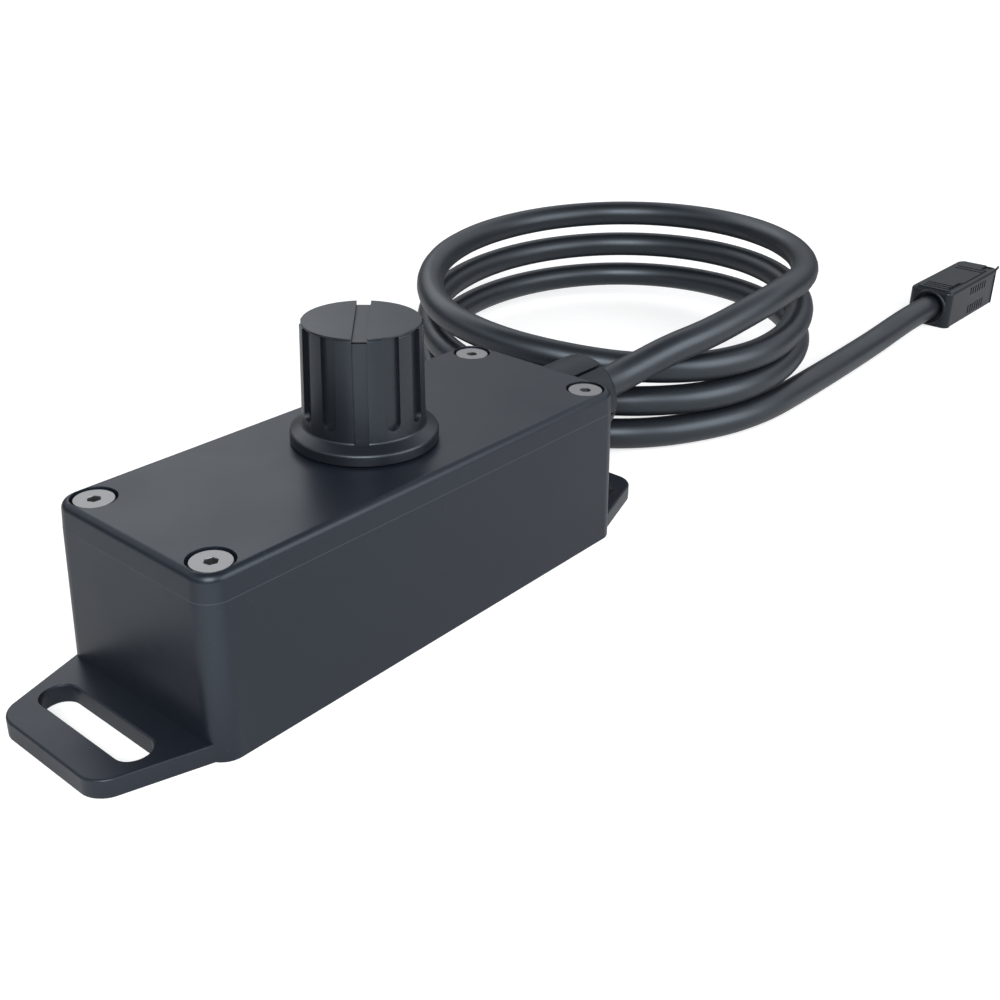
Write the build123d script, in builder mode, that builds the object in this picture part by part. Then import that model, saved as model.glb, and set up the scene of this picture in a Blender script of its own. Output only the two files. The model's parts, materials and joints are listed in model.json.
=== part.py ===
from build123d import *
from math import atan, cos, degrees, pi, radians, sin, sqrt, tan
import os

# Dimmer module: screwed case with feet, rotary knob, slit cable collar, coiled cable and plug.
# Origin at the middle of the underside, +X towards the cable end, +Z up. Millimetres.

# Case
case_length = 123.0
case_width = 48.0
seam_height = 33.5
lid_height = 5.5
case_height = seam_height + lid_height
half_length = case_length / 2
half_width = case_width / 2
corner_radius = 5.0
wall_flare = 0.7
lid_taper = 2.5
lid_edge_round = 1.6
wall = 2.4
floor_thickness = 2.6
lid_plate = 3.0

# Mounting feet
foot_reach = 21.3
foot_thickness = 4.0
foot_root_width = case_width - 2.0
foot_tip_width = case_width - 17.0
foot_tip_round = 5.0
foot_edge_round = 0.6
slot_length = foot_tip_width - 1.0
slot_width = 7.6
slot_inset = 11.0

# Lid screws
screw_inset_x = 6.1
screw_inset_y = 6.0
screw_x = half_length - screw_inset_x
screw_y = half_width - screw_inset_y
screw_radius = 2.0
screw_head_radius = 4.0
screw_head_sink = 0.35
screw_head_land = 0.2
screw_length = 16.0
screw_socket_flats = 2.5
screw_socket_depth = 1.7
screw_recess_radius = 4.65
screw_recess_depth = 0.6
post_radius = 4.2
fit_clearance = 0.02

# Seam seal and lid tongue
rim_land = 1.1
seal_height = 1.5
tongue_gap = 0.25
tongue_thickness = 1.4
tongue_depth = 2.0
tongue_post_gap = 0.4

# Rotary control
shaft_radius = 3.0
shaft_top = case_height + 21.0
shaft_flat_depth = 1.5
shaft_flat_length = 13.0
shaft_running_gap = 0.03
shaft_collar_radius = 4.2
bushing_radius = 4.95
bushing_hole_gap = 0.15
bushing_top = case_height + 6.0
panel_seal_thickness = 0.8
panel_seal_radius = 11.0
can_radius = 12.0
can_height = 8.8
can_wall = 0.8
wafer_thickness = 1.6
rotor_radius = 9.8
rotor_thickness = 1.8
washer_radius = 7.5
washer_thickness = 0.8
nut_flats = 14.0
nut_thickness = 2.5
terminal_pitch = 5.0
terminal_length = 6.0

# Knob
knob_height = 26.35
knob_lid_gap = 0.35
knob_bottom = case_height + knob_lid_gap
knob_top = knob_bottom + knob_height
knob_disc_radius = 12.5
knob_ledge_depth = 0.45
knob_top_radius = 12.85
knob_base_radius = 13.3
knob_body_bottom = knob_bottom + 3.75
skirt_radius = 16.0
skirt_rim_height = knob_bottom + 2.25
knob_wall = 1.9
knob_roof = 3.2
hub_radius = 6.6
hub_bottom = knob_bottom + 7.05
rib_thickness = 1.2
rib_bottom = hub_bottom + 4.6
flute_count = 12
flute_width = 3.3
flute_floor_radius = 12.5
flute_bottom = knob_body_bottom + 2.3
pointer_width = 3.1
pointer_depth = 0.8
pointer_bottom = knob_body_bottom - 0.5
pointer_angle = 223.5
insert_radius = 5.0
insert_height = 14.0

# Cable collar on the far end wall
gland_z = seam_height - 8.2
gland_pad_x = half_length + 0.9
gland_pad_radius = 11.6
gland_washer_thickness = 0.8
collar_length = 17.6
collar_end_x = gland_pad_x + gland_washer_thickness + collar_length
collar_radius = 10.9
collar_chamfer = 0.8
collar_pocket_radius = 6.8
collar_pocket_start = gland_pad_x + 3.6
spigot_radius = 5.95
spigot_hole_gap = 0.15
spigot_end_x = half_length - 7.3
slit_count = 5
slit_width = 0.8
slit_start = gland_pad_x + 3.0
slit_angle = 119.0
locknut_flats = 15.0
locknut_thickness = 4.0

# Cable, its coil and the place of the plug at its end
plug_distance = 212.5
plug_rear_x = half_length + plug_distance
plug_y = -15.8
plug_axis_z = 6.8
cable_diameter = 8.7
cable_radius = cable_diameter / 2
cable_clearance = 0.02
coil_distance = 99.7
coil_centre_x = half_length + coil_distance
coil_centre_y = 47.4
coil_semi_minor = 59.9
coil_semi_major = 71.7
coil_turn = 23.3
coil_top_height = 38.2
coil_tilt_x = 3.9
coil_tilt_y = 1.7
cable_inner_end = spigot_end_x - 1.2
floor_line = cable_radius + 0.01
lead_straight = 16.2
lead_reach = 40.2
lead_drift = 7.0
lead_rise = 5.4
lead_points = [
    (cable_inner_end, 0.0, gland_z),
    (collar_end_x + lead_straight, 0.0, gland_z),
    (collar_end_x + lead_reach, -lead_drift, gland_z + lead_rise),
]
tail_start = 11.2
tail_bend = 28.8
tail_lift_start = 70.8
tail_straight = 15.0
plug_reach = 10.0
tail_points = [
    (coil_centre_x - tail_start, plug_y + 0.4, floor_line),
    (coil_centre_x + tail_bend, plug_y - 0.8, floor_line + 0.04),
    (coil_centre_x + tail_lift_start, plug_y + 0.6, floor_line + 0.4),
    (plug_rear_x - tail_straight, plug_y, plug_axis_z),
    (plug_rear_x + plug_reach, plug_y, plug_axis_z),
]

# Plug
plug_length = 46.0
plug_width = 16.0
plug_height = 13.6
plug_edge_round = 1.3
plug_entry_radius = 5.2
plug_entry_depth = 12.0
plug_seal_inset = 2.4
plug_cover_width = 12.4
plug_cover_recess = 0.9
plug_cover_rise = 0.35
plug_cover_inset = 1.2
plug_window = 3.2
plug_pitch = 4.6
contact_size = 2.6
contact_length = 14.0
grip_rib_count = 7
grip_rib_pitch = 2.3
grip_rib_width = 1.0
grip_rib_depth = 0.35

# Circuit board and what is on it
board_length = case_length - 23.0
board_width = case_width - 10.0
board_thickness = 1.6
board_bottom = 8.0
board_screw_inset_x = 6.0
board_screw_inset_y = 4.0
standoff_x = board_length / 2 - board_screw_inset_x
standoff_y = board_width / 2 - board_screw_inset_y
standoff_radius = 3.0
board_screw_radius = 1.45
board_screw_head_radius = 2.75
board_screw_head_height = 2.0
board_screw_length = 7.0
lead_stub = 0.4

os.makedirs("parts", exist_ok=True)


def finish(builder, name):
    """Label a finished piece and write it to its own file."""
    builder.part.label = name
    export_step(builder.part, "parts/" + name + ".step")


# Places worked out from the driving dimensions
flare_angle = degrees(atan(wall_flare / seam_height))
lid_underside = case_height - lid_plate
screw_spots = [(sx * screw_x, sy * screw_y) for sx in (-1, 1) for sy in (-1, 1)]
standoff_spots = [(sx * standoff_x, sy * standoff_y) for sx in (-1, 1) for sy in (-1, 1)]
board_top = board_bottom + board_thickness
head_top = case_height - screw_head_sink
foot_tip_x = half_length + foot_reach
slot_x = foot_tip_x - slot_inset
can_top = lid_underside - panel_seal_thickness
can_bottom = can_top - can_height
cavity_radius = corner_radius - wall
gland_axis = Axis((0, 0, gland_z), (1, 0, 0))
gland_plane = Plane(origin=(0, 0, gland_z), x_dir=(1, 0, 0), z_dir=(0, -1, 0))


# Base housing: tapered tray, feet, screw posts, board standoffs and collar pad
with BuildPart() as base_housing:
    with BuildSketch():
        RectangleRounded(
            case_length + 2 * wall_flare, case_width + 2 * wall_flare, corner_radius + wall_flare
        )
    extrude(amount=seam_height, taper=flare_angle)
    shell_faces = base_housing.faces()
    with BuildSketch(Plane.YZ.offset(half_length)):
        with Locations((0, gland_z)):
            Circle(gland_pad_radius)
    extrude(amount=gland_pad_x - half_length)
    with BuildSketch(Plane.XY.offset(floor_thickness)):
        RectangleRounded(case_length - 2 * wall, case_width - 2 * wall, cavity_radius)
        with Locations(*screw_spots):
            Circle(post_radius, mode=Mode.SUBTRACT)
    extrude(amount=case_height, mode=Mode.SUBTRACT)
    for side in (-1, 1):
        with BuildSketch():
            with BuildLine():
                Polyline(
                    (side * (half_length - wall), foot_root_width / 2),
                    (side * (half_length + wall_flare), foot_root_width / 2),
                    (side * foot_tip_x, foot_tip_width / 2),
                    (side * foot_tip_x, -foot_tip_width / 2),
                    (side * (half_length + wall_flare), -foot_root_width / 2),
                    (side * (half_length - wall), -foot_root_width / 2),
                    close=True,
                )
            make_face()
            tips = [v for v in vertices() if abs(v.X) > foot_tip_x - 0.01]
            fillet(tips, foot_tip_round)
        foot = extrude(amount=foot_thickness)
    foot_rims = [
        e
        for e in base_housing.edges().filter_by(Plane.XY)
        if abs(e.center().Z - foot_thickness) < 0.01 and abs(e.center().X) > half_length + 2
    ]
    fillet(foot_rims, foot_edge_round)
    with BuildSketch():
        with Locations((slot_x, 0), (-slot_x, 0)):
            SlotOverall(slot_length, slot_width, rotation=90)
    extrude(amount=foot_thickness, mode=Mode.SUBTRACT)
    # Standoffs under the board, with their screw holes
    with BuildSketch(Plane.XY.offset(floor_thickness)):
        with Locations(*standoff_spots):
            Circle(standoff_radius)
    extrude(amount=board_bottom - floor_thickness)
    with BuildSketch(Plane.XY.offset(board_bottom)):
        with Locations(*standoff_spots):
            Circle(board_screw_radius + fit_clearance)
    extrude(amount=floor_thickness - board_bottom, mode=Mode.SUBTRACT)
    # Step for the seal, screw holes in the posts and the hole for the cable collar
    with BuildSketch(Plane.XY.offset(seam_height - seal_height)):
        RectangleRounded(
            case_length - 2 * rim_land, case_width - 2 * rim_land, corner_radius - rim_land
        )
        RectangleRounded(
            case_length - 2 * wall, case_width - 2 * wall, cavity_radius, mode=Mode.SUBTRACT
        )
    extrude(amount=seal_height, mode=Mode.SUBTRACT)
    with BuildSketch(Plane.XY.offset(seam_height)):
        with Locations(*screw_spots):
            Circle(screw_radius + fit_clearance)
    extrude(amount=head_top - screw_length - 2 - seam_height, mode=Mode.SUBTRACT)
    with BuildSketch(Plane.YZ.offset(gland_pad_x)):
        with Locations((0, gland_z)):
            Circle(spigot_radius + spigot_hole_gap)
    extrude(amount=-(gland_pad_x - half_length) - 2 * wall, mode=Mode.SUBTRACT)
finish(base_housing, "base_housing")


# Seal in the step of the base rim
with BuildPart() as lid_gasket:
    with BuildSketch(Plane.XY.offset(seam_height - seal_height)):
        RectangleRounded(
            case_length - 2 * rim_land, case_width - 2 * rim_land, corner_radius - rim_land
        )
        RectangleRounded(
            case_length - 2 * wall, case_width - 2 * wall, cavity_radius, mode=Mode.SUBTRACT
        )
    extrude(amount=seal_height)
finish(lid_gasket, "lid_gasket")


# Lid: rounded cover with a pocket, a tongue, countersunk holes and the control's hole
pocket_inset = wall + tongue_gap + tongue_thickness
with BuildPart() as lid:
    with BuildSketch(Plane.XY.offset(seam_height)):
        RectangleRounded(case_length, case_width, corner_radius)
    extrude(amount=case_height - seam_height, taper=lid_taper)
    fillet(lid.faces().sort_by(Axis.Z)[-1].edges(), lid_edge_round)
    with BuildSketch(Plane.XY.offset(seam_height)):
        RectangleRounded(case_length - 2 * pocket_inset, case_width - 2 * pocket_inset, 1.2)
        with Locations(*screw_spots):
            Circle(post_radius + tongue_thickness + tongue_post_gap, mode=Mode.SUBTRACT)
    extrude(amount=lid_underside - seam_height, mode=Mode.SUBTRACT)
    with BuildSketch(Plane.XY.offset(seam_height)):
        tongue_outer = wall + tongue_gap
        RectangleRounded(
            case_length - 2 * tongue_outer, case_width - 2 * tongue_outer, cavity_radius - tongue_gap
        )
        RectangleRounded(
            case_length - 2 * pocket_inset, case_width - 2 * pocket_inset, 1.2, mode=Mode.SUBTRACT
        )
        with Locations(*screw_spots):
            Circle(post_radius + tongue_post_gap, mode=Mode.SUBTRACT)
        with Locations((half_length, 0)):
            Rectangle(6 * wall, locknut_flats + 6, mode=Mode.SUBTRACT)
    extrude(amount=-tongue_depth)
    with Locations(*[(x, y, head_top - screw_head_land) for x, y in screw_spots]):
        CounterSinkHole(screw_radius + 0.2, screw_head_radius + fit_clearance, counter_sink_angle=90)
    with BuildSketch(Plane.XY.offset(case_height)):
        with Locations(*screw_spots):
            Circle(screw_recess_radius)
    extrude(amount=-screw_recess_depth, mode=Mode.SUBTRACT)
    with BuildSketch(Plane.XY.offset(case_height)):
        Circle(bushing_radius + bushing_hole_gap)
    extrude(amount=-lid_plate, mode=Mode.SUBTRACT)
finish(lid, "lid")


# Countersunk socket screws in the four corners
with BuildPart() as lid_screws:
    with BuildSketch(Plane.XZ) as screw_profile:
        with BuildLine():
            cone_height = screw_head_radius - screw_radius
            Polyline(
                (0, head_top),
                (screw_head_radius, head_top),
                (screw_head_radius, head_top - screw_head_land),
                (screw_radius, head_top - screw_head_land - cone_height),
                (screw_radius, head_top - screw_length + 0.6),
                (screw_radius - 0.6, head_top - screw_length),
                (0, head_top - screw_length),
                close=True,
            )
        make_face()
    revolve(axis=Axis.Z)
    with BuildSketch(Plane.XY.offset(head_top)):
        RegularPolygon(screw_socket_flats / 2, 6, major_radius=False)
    extrude(amount=-screw_socket_depth, mode=Mode.SUBTRACT)
one_screw = lid_screws.part
with BuildPart() as lid_screws:
    with Locations(*[(x, y, 0) for x, y in screw_spots]):
        add(one_screw)
finish(lid_screws, "lid_screws")


# Rotary control: seal, bushing, can, wafer, rotor, shaft, washer and nut
with BuildPart() as panel_seal:
    with BuildSketch(Plane.XY.offset(can_top)):
        Circle(panel_seal_radius)
        Circle(bushing_radius + bushing_hole_gap, mode=Mode.SUBTRACT)
    extrude(amount=panel_seal_thickness)
finish(panel_seal, "panel_seal")

shaft_hole = shaft_radius + shaft_running_gap
with BuildPart() as pot_bushing:
    with BuildSketch(Plane.XY.offset(can_top - can_wall)):
        Circle(bushing_radius)
        Circle(shaft_hole, mode=Mode.SUBTRACT)
    extrude(amount=bushing_top - can_top + can_wall)
    chamfer(pot_bushing.faces().sort_by(Axis.Z)[-1].edges().sort_by(SortBy.RADIUS)[-1], 0.5)
finish(pot_bushing, "pot_bushing")

with BuildPart() as pot_can:
    with BuildSketch(Plane.XY.offset(can_bottom)):
        Circle(can_radius)
    extrude(amount=can_height)
    fillet(pot_can.faces().sort_by(Axis.Z)[-1].edges(), 0.5)
    with BuildSketch(Plane.XY.offset(can_bottom)):
        Circle(can_radius - can_wall)
    extrude(amount=can_height - can_wall, mode=Mode.SUBTRACT)
    with BuildSketch(Plane.XY.offset(can_bottom)):
        Circle(bushing_radius)
    extrude(amount=can_height, mode=Mode.SUBTRACT)
finish(pot_can, "pot_can")

with BuildPart() as pot_wafer:
    with BuildSketch(Plane.XY.offset(can_bottom)):
        Circle(can_radius - can_wall)
    extrude(amount=wafer_thickness)
finish(pot_wafer, "pot_wafer")

rotor_bottom = can_bottom + wafer_thickness + 0.3
with BuildPart() as pot_rotor:
    with BuildSketch(Plane.XY.offset(rotor_bottom)):
        Circle(rotor_radius)
        Circle(shaft_radius, mode=Mode.SUBTRACT)
    extrude(amount=rotor_thickness)
    with BuildSketch(Plane.XY.offset(rotor_bottom + rotor_thickness)):
        with Locations((rotor_radius - 2.4, 0)):
            Rectangle(3.0, 4.0)
    extrude(amount=1.2)
finish(pot_rotor, "pot_rotor")

with BuildPart() as pot_shaft:
    with BuildSketch(Plane.XY.offset(rotor_bottom)):
        Circle(shaft_radius)
    extrude(amount=shaft_top - rotor_bottom)
    chamfer(pot_shaft.faces().sort_by(Axis.Z)[-1].edges(), 0.5)
    with BuildSketch(Plane.XY.offset(can_top - can_wall - 0.3)):
        Circle(shaft_collar_radius)
    extrude(amount=-1.2)
    with BuildSketch(Plane.XY.offset(shaft_top)):
        with Locations((shaft_radius, 0)):
            Rectangle(2 * shaft_flat_depth, 3 * shaft_radius)
    extrude(amount=-shaft_flat_length, mode=Mode.SUBTRACT)
finish(pot_shaft, "pot_shaft")

with BuildPart() as pot_washer:
    with BuildSketch(Plane.XY.offset(case_height)):
        Circle(washer_radius)
        Circle(bushing_radius + bushing_hole_gap, mode=Mode.SUBTRACT)
    extrude(amount=washer_thickness)
finish(pot_washer, "pot_washer")

with BuildPart() as pot_nut:
    with BuildSketch(Plane.XY.offset(case_height + washer_thickness)):
        RegularPolygon(nut_flats / 2, 6, major_radius=False)
        Circle(bushing_radius + fit_clearance, mode=Mode.SUBTRACT)
    extrude(amount=nut_thickness)
finish(pot_nut, "pot_nut")

terminal_y = -7.0
terminal_spots = [(k * terminal_pitch, terminal_y) for k in (-1, 0, 1)]
with BuildPart() as pot_terminals:
    with BuildSketch(Plane.XY.offset(can_bottom)):
        with Locations(*terminal_spots):
            Rectangle(2.0, 0.6)
    extrude(amount=-terminal_length)
finish(pot_terminals, "pot_terminals")

header_height = 5.0
with BuildPart() as pot_header:
    with BuildSketch(Plane.XY.offset(board_top)):
        with Locations((0, terminal_y)):
            Rectangle(3 * terminal_pitch, 5.0)
    extrude(amount=header_height)
    chamfer(pot_header.faces().sort_by(Axis.Z)[-1].edges(), 0.4)
finish(pot_header, "pot_header")

with BuildPart() as pot_leads:
    with BuildSketch(Plane.XY.offset(board_top + header_height)):
        with Locations(*terminal_spots):
            Circle(0.8)
    extrude(amount=can_bottom - terminal_length - board_top - header_height)
finish(pot_leads, "pot_leads")


# Knob: fluted body with skirt, pointer groove, hollow underside, hub and ribs
knob_ceiling = knob_top - knob_roof
pointer_dir = Vector(cos(radians(pointer_angle)), sin(radians(pointer_angle)), 0)
with BuildPart() as knob_body:
    with BuildSketch(Plane.XZ):
        with BuildLine():
            Polyline(
                (0, knob_top),
                (knob_disc_radius, knob_top),
                (knob_disc_radius, knob_top - knob_ledge_depth),
                (knob_top_radius, knob_top - knob_ledge_depth),
                (knob_base_radius, knob_body_bottom),
                (skirt_radius, skirt_rim_height),
                (skirt_radius, knob_bottom),
                (skirt_radius - 1.6, knob_bottom),
                (skirt_radius - 1.6, knob_bottom + 0.9),
                (knob_base_radius - knob_wall, knob_bottom + 0.9),
                (knob_top_radius - knob_wall, knob_ceiling),
                (0, knob_ceiling),
                close=True,
            )
        make_face()
    revolve(axis=Axis.Z)
    rim_edges = knob_body.edges().filter_by(GeomType.CIRCLE).group_by(SortBy.RADIUS)[-1]
    fillet(rim_edges.sort_by(Axis.Z)[-1], 0.3)
    # Hub and six ribs inside
    with BuildSketch(Plane.XY.offset(hub_bottom)):
        Circle(hub_radius)
    extrude(amount=knob_ceiling - hub_bottom)
    with BuildSketch(Plane.XY.offset(rib_bottom)):
        with PolarLocations((hub_radius + knob_top_radius - knob_wall) / 2, 6, pointer_angle):
            Rectangle(knob_top_radius - knob_wall - hub_radius + 0.6, rib_thickness)
    extrude(amount=knob_ceiling - rib_bottom)
    with BuildSketch(Plane.XY.offset(hub_bottom)):
        Circle(insert_radius)
    extrude(amount=insert_height, mode=Mode.SUBTRACT)
    # Flutes round the body, with round lower ends, apart from the pointer's place
    for k in range(1, flute_count):
        turn = radians(pointer_angle + k * 360 / flute_count)
        outward = Vector(cos(turn), sin(turn), 0)
        flute_plane = Plane(
            origin=outward * flute_floor_radius, x_dir=(-sin(turn), cos(turn), 0), z_dir=outward
        )
        flute_height = knob_top - flute_bottom + 1
        with BuildSketch(flute_plane):
            with Locations((0, flute_bottom + flute_height / 2)):
                Rectangle(flute_width, flute_height - flute_width)
            with Locations((0, flute_bottom + flute_width / 2)):
                Circle(flute_width / 2)
        extrude(amount=2, mode=Mode.SUBTRACT)
    # Pointer groove across the top and down the front
    top_plane = Plane(origin=(0, 0, knob_top), x_dir=pointer_dir, z_dir=(0, 0, 1))
    with BuildSketch(top_plane):
        Rectangle(4 * knob_disc_radius, pointer_width)
    extrude(amount=-pointer_depth, mode=Mode.SUBTRACT)
    pointer_floor = knob_top_radius - pointer_depth
    front_plane = Plane(
        origin=pointer_dir * pointer_floor,
        x_dir=Vector(-pointer_dir.Y, pointer_dir.X, 0),
        z_dir=pointer_dir,
    )
    with BuildSketch(front_plane):
        with Locations((0, (knob_top + pointer_bottom) / 2)):
            Rectangle(pointer_width, knob_top - pointer_bottom)
    extrude(amount=2.4, mode=Mode.SUBTRACT)
finish(knob_body, "knob_body")

with BuildPart() as knob_insert:
    with BuildSketch(Plane.XY.offset(hub_bottom)):
        Circle(insert_radius)
        Circle(shaft_radius + fit_clearance, mode=Mode.SUBTRACT)
    extrude(amount=insert_height)
    flat_bottom = shaft_top - shaft_flat_length + 0.5
    with BuildSketch(Plane.XY.offset(flat_bottom)):
        flat_x = shaft_radius - shaft_flat_depth + 2 * fit_clearance
        flat_end = insert_radius - 1.2
        with Locations(((flat_x + flat_end) / 2, 0)):
            Rectangle(flat_end - flat_x, 2 * shaft_radius)
    extrude(amount=hub_bottom + insert_height - flat_bottom)
finish(knob_insert, "knob_insert")


# Cable collar: threaded spigot through the wall, slit barrel outside
washer_outer_x = gland_pad_x + gland_washer_thickness
cable_hole = cable_radius + 0.25
with BuildPart() as gland_collar:
    with BuildSketch(gland_plane):
        with BuildLine():
            Polyline(
                (spigot_end_x, cable_hole),
                (spigot_end_x, spigot_radius - 0.5),
                (spigot_end_x + 0.5, spigot_radius),
                (washer_outer_x, spigot_radius),
                (washer_outer_x, collar_radius - 0.4),
                (washer_outer_x + 0.4, collar_radius),
                (collar_end_x - collar_chamfer, collar_radius),
                (collar_end_x, collar_radius - collar_chamfer),
                (collar_end_x, collar_pocket_radius + 0.4),
                (collar_end_x - 0.4, collar_pocket_radius),
                (collar_pocket_start, collar_pocket_radius),
                (collar_pocket_start, cable_hole),
                close=True,
            )
        make_face()
    revolve(axis=gland_axis)
    for k in range(slit_count):
        turn = radians(slit_angle + k * 360 / slit_count)
        slit_plane = Plane(
            origin=(slit_start, 0, gland_z), x_dir=(0, cos(turn), sin(turn)), z_dir=(1, 0, 0)
        )
        with BuildSketch(slit_plane):
            with Locations(((collar_pocket_radius + collar_radius) / 2, 0)):
                Rectangle(collar_radius - collar_pocket_radius + 1, slit_width)
        extrude(amount=collar_end_x - slit_start + 1, mode=Mode.SUBTRACT)
finish(gland_collar, "gland_collar")

with BuildPart() as gland_seal:
    with BuildSketch(Plane.YZ.offset(collar_pocket_start)):
        with Locations((0, gland_z)):
            Circle(collar_pocket_radius - cable_clearance)
            Circle(cable_radius + cable_clearance, mode=Mode.SUBTRACT)
    extrude(amount=collar_end_x - 1.6 - collar_pocket_start)
finish(gland_seal, "gland_seal")

with BuildPart() as gland_washer:
    with BuildSketch(Plane.YZ.offset(gland_pad_x)):
        with Locations((0, gland_z)):
            Circle(collar_radius - 0.6)
            Circle(spigot_radius + spigot_hole_gap, mode=Mode.SUBTRACT)
    extrude(amount=gland_washer_thickness)
finish(gland_washer, "gland_washer")

with BuildPart() as gland_locknut:
    with BuildSketch(Plane.YZ.offset(half_length - wall)):
        with Locations((0, gland_z)):
            RegularPolygon(locknut_flats / 2, 6, major_radius=False)
            Circle(spigot_radius + fit_clearance, mode=Mode.SUBTRACT)
    extrude(amount=-locknut_thickness)
finish(gland_locknut, "gland_locknut")


# Cable: straight runs joined by tangent arcs, and the coil's outer shape
def route_radii(points):
    """Each arc is as large as its two runs allow."""
    radii = []
    for before, here, after in zip(points, points[1:], points[2:]):
        run_in = Vector(*here) - Vector(*before)
        run_out = Vector(*after) - Vector(*here)
        half_turn = radians(run_in.get_angle(run_out)) / 2
        radii.append(0.45 * min(run_in.length, run_out.length) / tan(half_turn))
    return radii


def cable_tube(points, name):
    """A round tube along the route, in a node of its own."""
    radii = route_radii(points)
    with BuildPart() as tube:
        with BuildLine() as path:
            FilletPolyline(*points, radius=radii)
        direction = Vector(*points[1]) - Vector(*points[0])
        with BuildSketch(Plane(origin=points[0], z_dir=direction)):
            Circle(cable_radius)
        sweep(path=path.line)
    length = sum(edge.length for edge in path.edges())
    ratio = tube.part.volume / (pi * cable_radius**2 * length)
    print(name, "length", round(length, 1), "radii", [round(r) for r in radii], "ratio", round(ratio, 4))
    finish(tube, name)


cable_tube(lead_points, "cable_lead")
cable_tube(tail_points, "cable_tail")

with BuildPart() as cable_coil:
    with BuildSketch():
        with Locations(Location((coil_centre_x, coil_centre_y, 0), (0, 0, coil_turn))):
            Ellipse(coil_semi_major + cable_radius, coil_semi_minor + cable_radius)
            Ellipse(
                coil_semi_major - cable_radius, coil_semi_minor - cable_radius, mode=Mode.SUBTRACT
            )
    extrude(amount=coil_top_height + 2 * cable_diameter)
    tilt = Plane(
        origin=(coil_centre_x, coil_centre_y, coil_top_height),
        z_dir=(-sin(radians(coil_tilt_x)), sin(radians(coil_tilt_y)), 1),
    )
    split(bisect_by=tilt, keep=Keep.BOTTOM)
finish(cable_coil, "cable_coil")


# Plug: housing with cable entry and contact windows, cover, seal and contacts
plug_front_x = plug_rear_x + plug_length
plug_middle_x = (plug_rear_x + plug_front_x) / 2
window_spots = [(plug_y + k * plug_pitch, plug_axis_z) for k in (-1, 0, 1)]
with BuildPart() as plug_housing:
    with BuildSketch(Plane.XY):
        with Locations((plug_middle_x, plug_y)):
            Rectangle(plug_length, plug_width)
    extrude(amount=plug_height)
    fillet(plug_housing.edges().filter_by(Axis.Z), plug_edge_round)
    fillet(plug_housing.faces().sort_by(Axis.Z)[-1].edges(), plug_edge_round * 0.8)
    with BuildSketch(Plane.YZ.offset(plug_rear_x)):
        with Locations((plug_y, plug_axis_z)):
            Circle(plug_entry_radius)
    extrude(amount=plug_entry_depth, mode=Mode.SUBTRACT)
    with BuildSketch(Plane.YZ.offset(plug_front_x)):
        with Locations(*window_spots):
            Rectangle(plug_window, plug_window)
    extrude(amount=-contact_length - 4, mode=Mode.SUBTRACT)
    # Step in the top for the cover
    with BuildSketch(Plane.XY.offset(plug_height)):
        with Locations((plug_middle_x, plug_y)):
            RectangleRounded(plug_length - 2 * plug_cover_inset, plug_cover_width, 1.6)
    extrude(amount=-plug_cover_recess, mode=Mode.SUBTRACT)
    # Grip ribs: two rows of short grooves on each long side
    rib_start = plug_front_x - 12 - grip_rib_pitch * (grip_rib_count - 1)
    for side in (-1, 1):
        rib_plane = Plane(
            origin=(0, plug_y + side * plug_width / 2, 0), x_dir=(1, 0, 0), z_dir=(0, side, 0)
        )
        with BuildSketch(rib_plane):
            for k in range(grip_rib_count):
                x = rib_start + k * grip_rib_pitch
                with Locations((x, -side * 10.2), (x, -side * 2.6)):
                    Rectangle(grip_rib_width, 3.4)
        extrude(amount=-grip_rib_depth, mode=Mode.SUBTRACT)
finish(plug_housing, "plug_housing")

cover_thickness = plug_cover_recess + plug_cover_rise
with BuildPart() as plug_cover:
    with BuildSketch(Plane.XY.offset(plug_height - plug_cover_recess)):
        with Locations((plug_middle_x, plug_y)):
            RectangleRounded(
                plug_length - 2 * plug_cover_inset - 0.1, plug_cover_width - 0.1, 1.55
            )
    extrude(amount=cover_thickness)
    fillet(plug_cover.faces().sort_by(Axis.Z)[-1].edges(), 0.3)
finish(plug_cover, "plug_cover")

with BuildPart() as plug_seal:
    with BuildSketch(Plane.YZ.offset(plug_rear_x + plug_seal_inset)):
        with Locations((plug_y, plug_axis_z)):
            Circle(plug_entry_radius - cable_clearance)
            Circle(cable_radius + cable_clearance, mode=Mode.SUBTRACT)
    extrude(amount=5.0)
finish(plug_seal, "plug_seal")

with BuildPart() as plug_contacts:
    with BuildSketch(Plane.YZ.offset(plug_front_x - 1.0)):
        with Locations(*window_spots):
            Rectangle(contact_size, contact_size)
            Circle(0.8, mode=Mode.SUBTRACT)
    extrude(amount=-contact_length)
finish(plug_contacts, "plug_contacts")


# Circuit board with its screws
with BuildPart() as circuit_board:
    with BuildSketch(Plane.XY.offset(board_bottom)):
        RectangleRounded(board_length, board_width, 1.5)
        with Locations(*standoff_spots):
            Circle(board_screw_radius + 0.15, mode=Mode.SUBTRACT)
    extrude(amount=board_thickness)
finish(circuit_board, "circuit_board")

with BuildPart() as board_screws:
    with BuildSketch(Plane.XY.offset(board_top)):
        with Locations(*standoff_spots):
            Circle(board_screw_head_radius)
    extrude(amount=board_screw_head_height)
    fillet(board_screws.faces().sort_by(Axis.Z)[-4:].edges(), 0.8)
    with BuildSketch(Plane.XY.offset(board_top)):
        with Locations(*standoff_spots):
            Circle(board_screw_radius)
    extrude(amount=-board_screw_length)
    with BuildSketch(Plane.XY.offset(board_top + board_screw_head_height)):
        with Locations(*standoff_spots):
            RectangleRounded(3.2, 0.6, 0.2)
            RectangleRounded(0.6, 3.2, 0.2)
    extrude(amount=-1.0, mode=Mode.SUBTRACT)
finish(board_screws, "board_screws")


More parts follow.
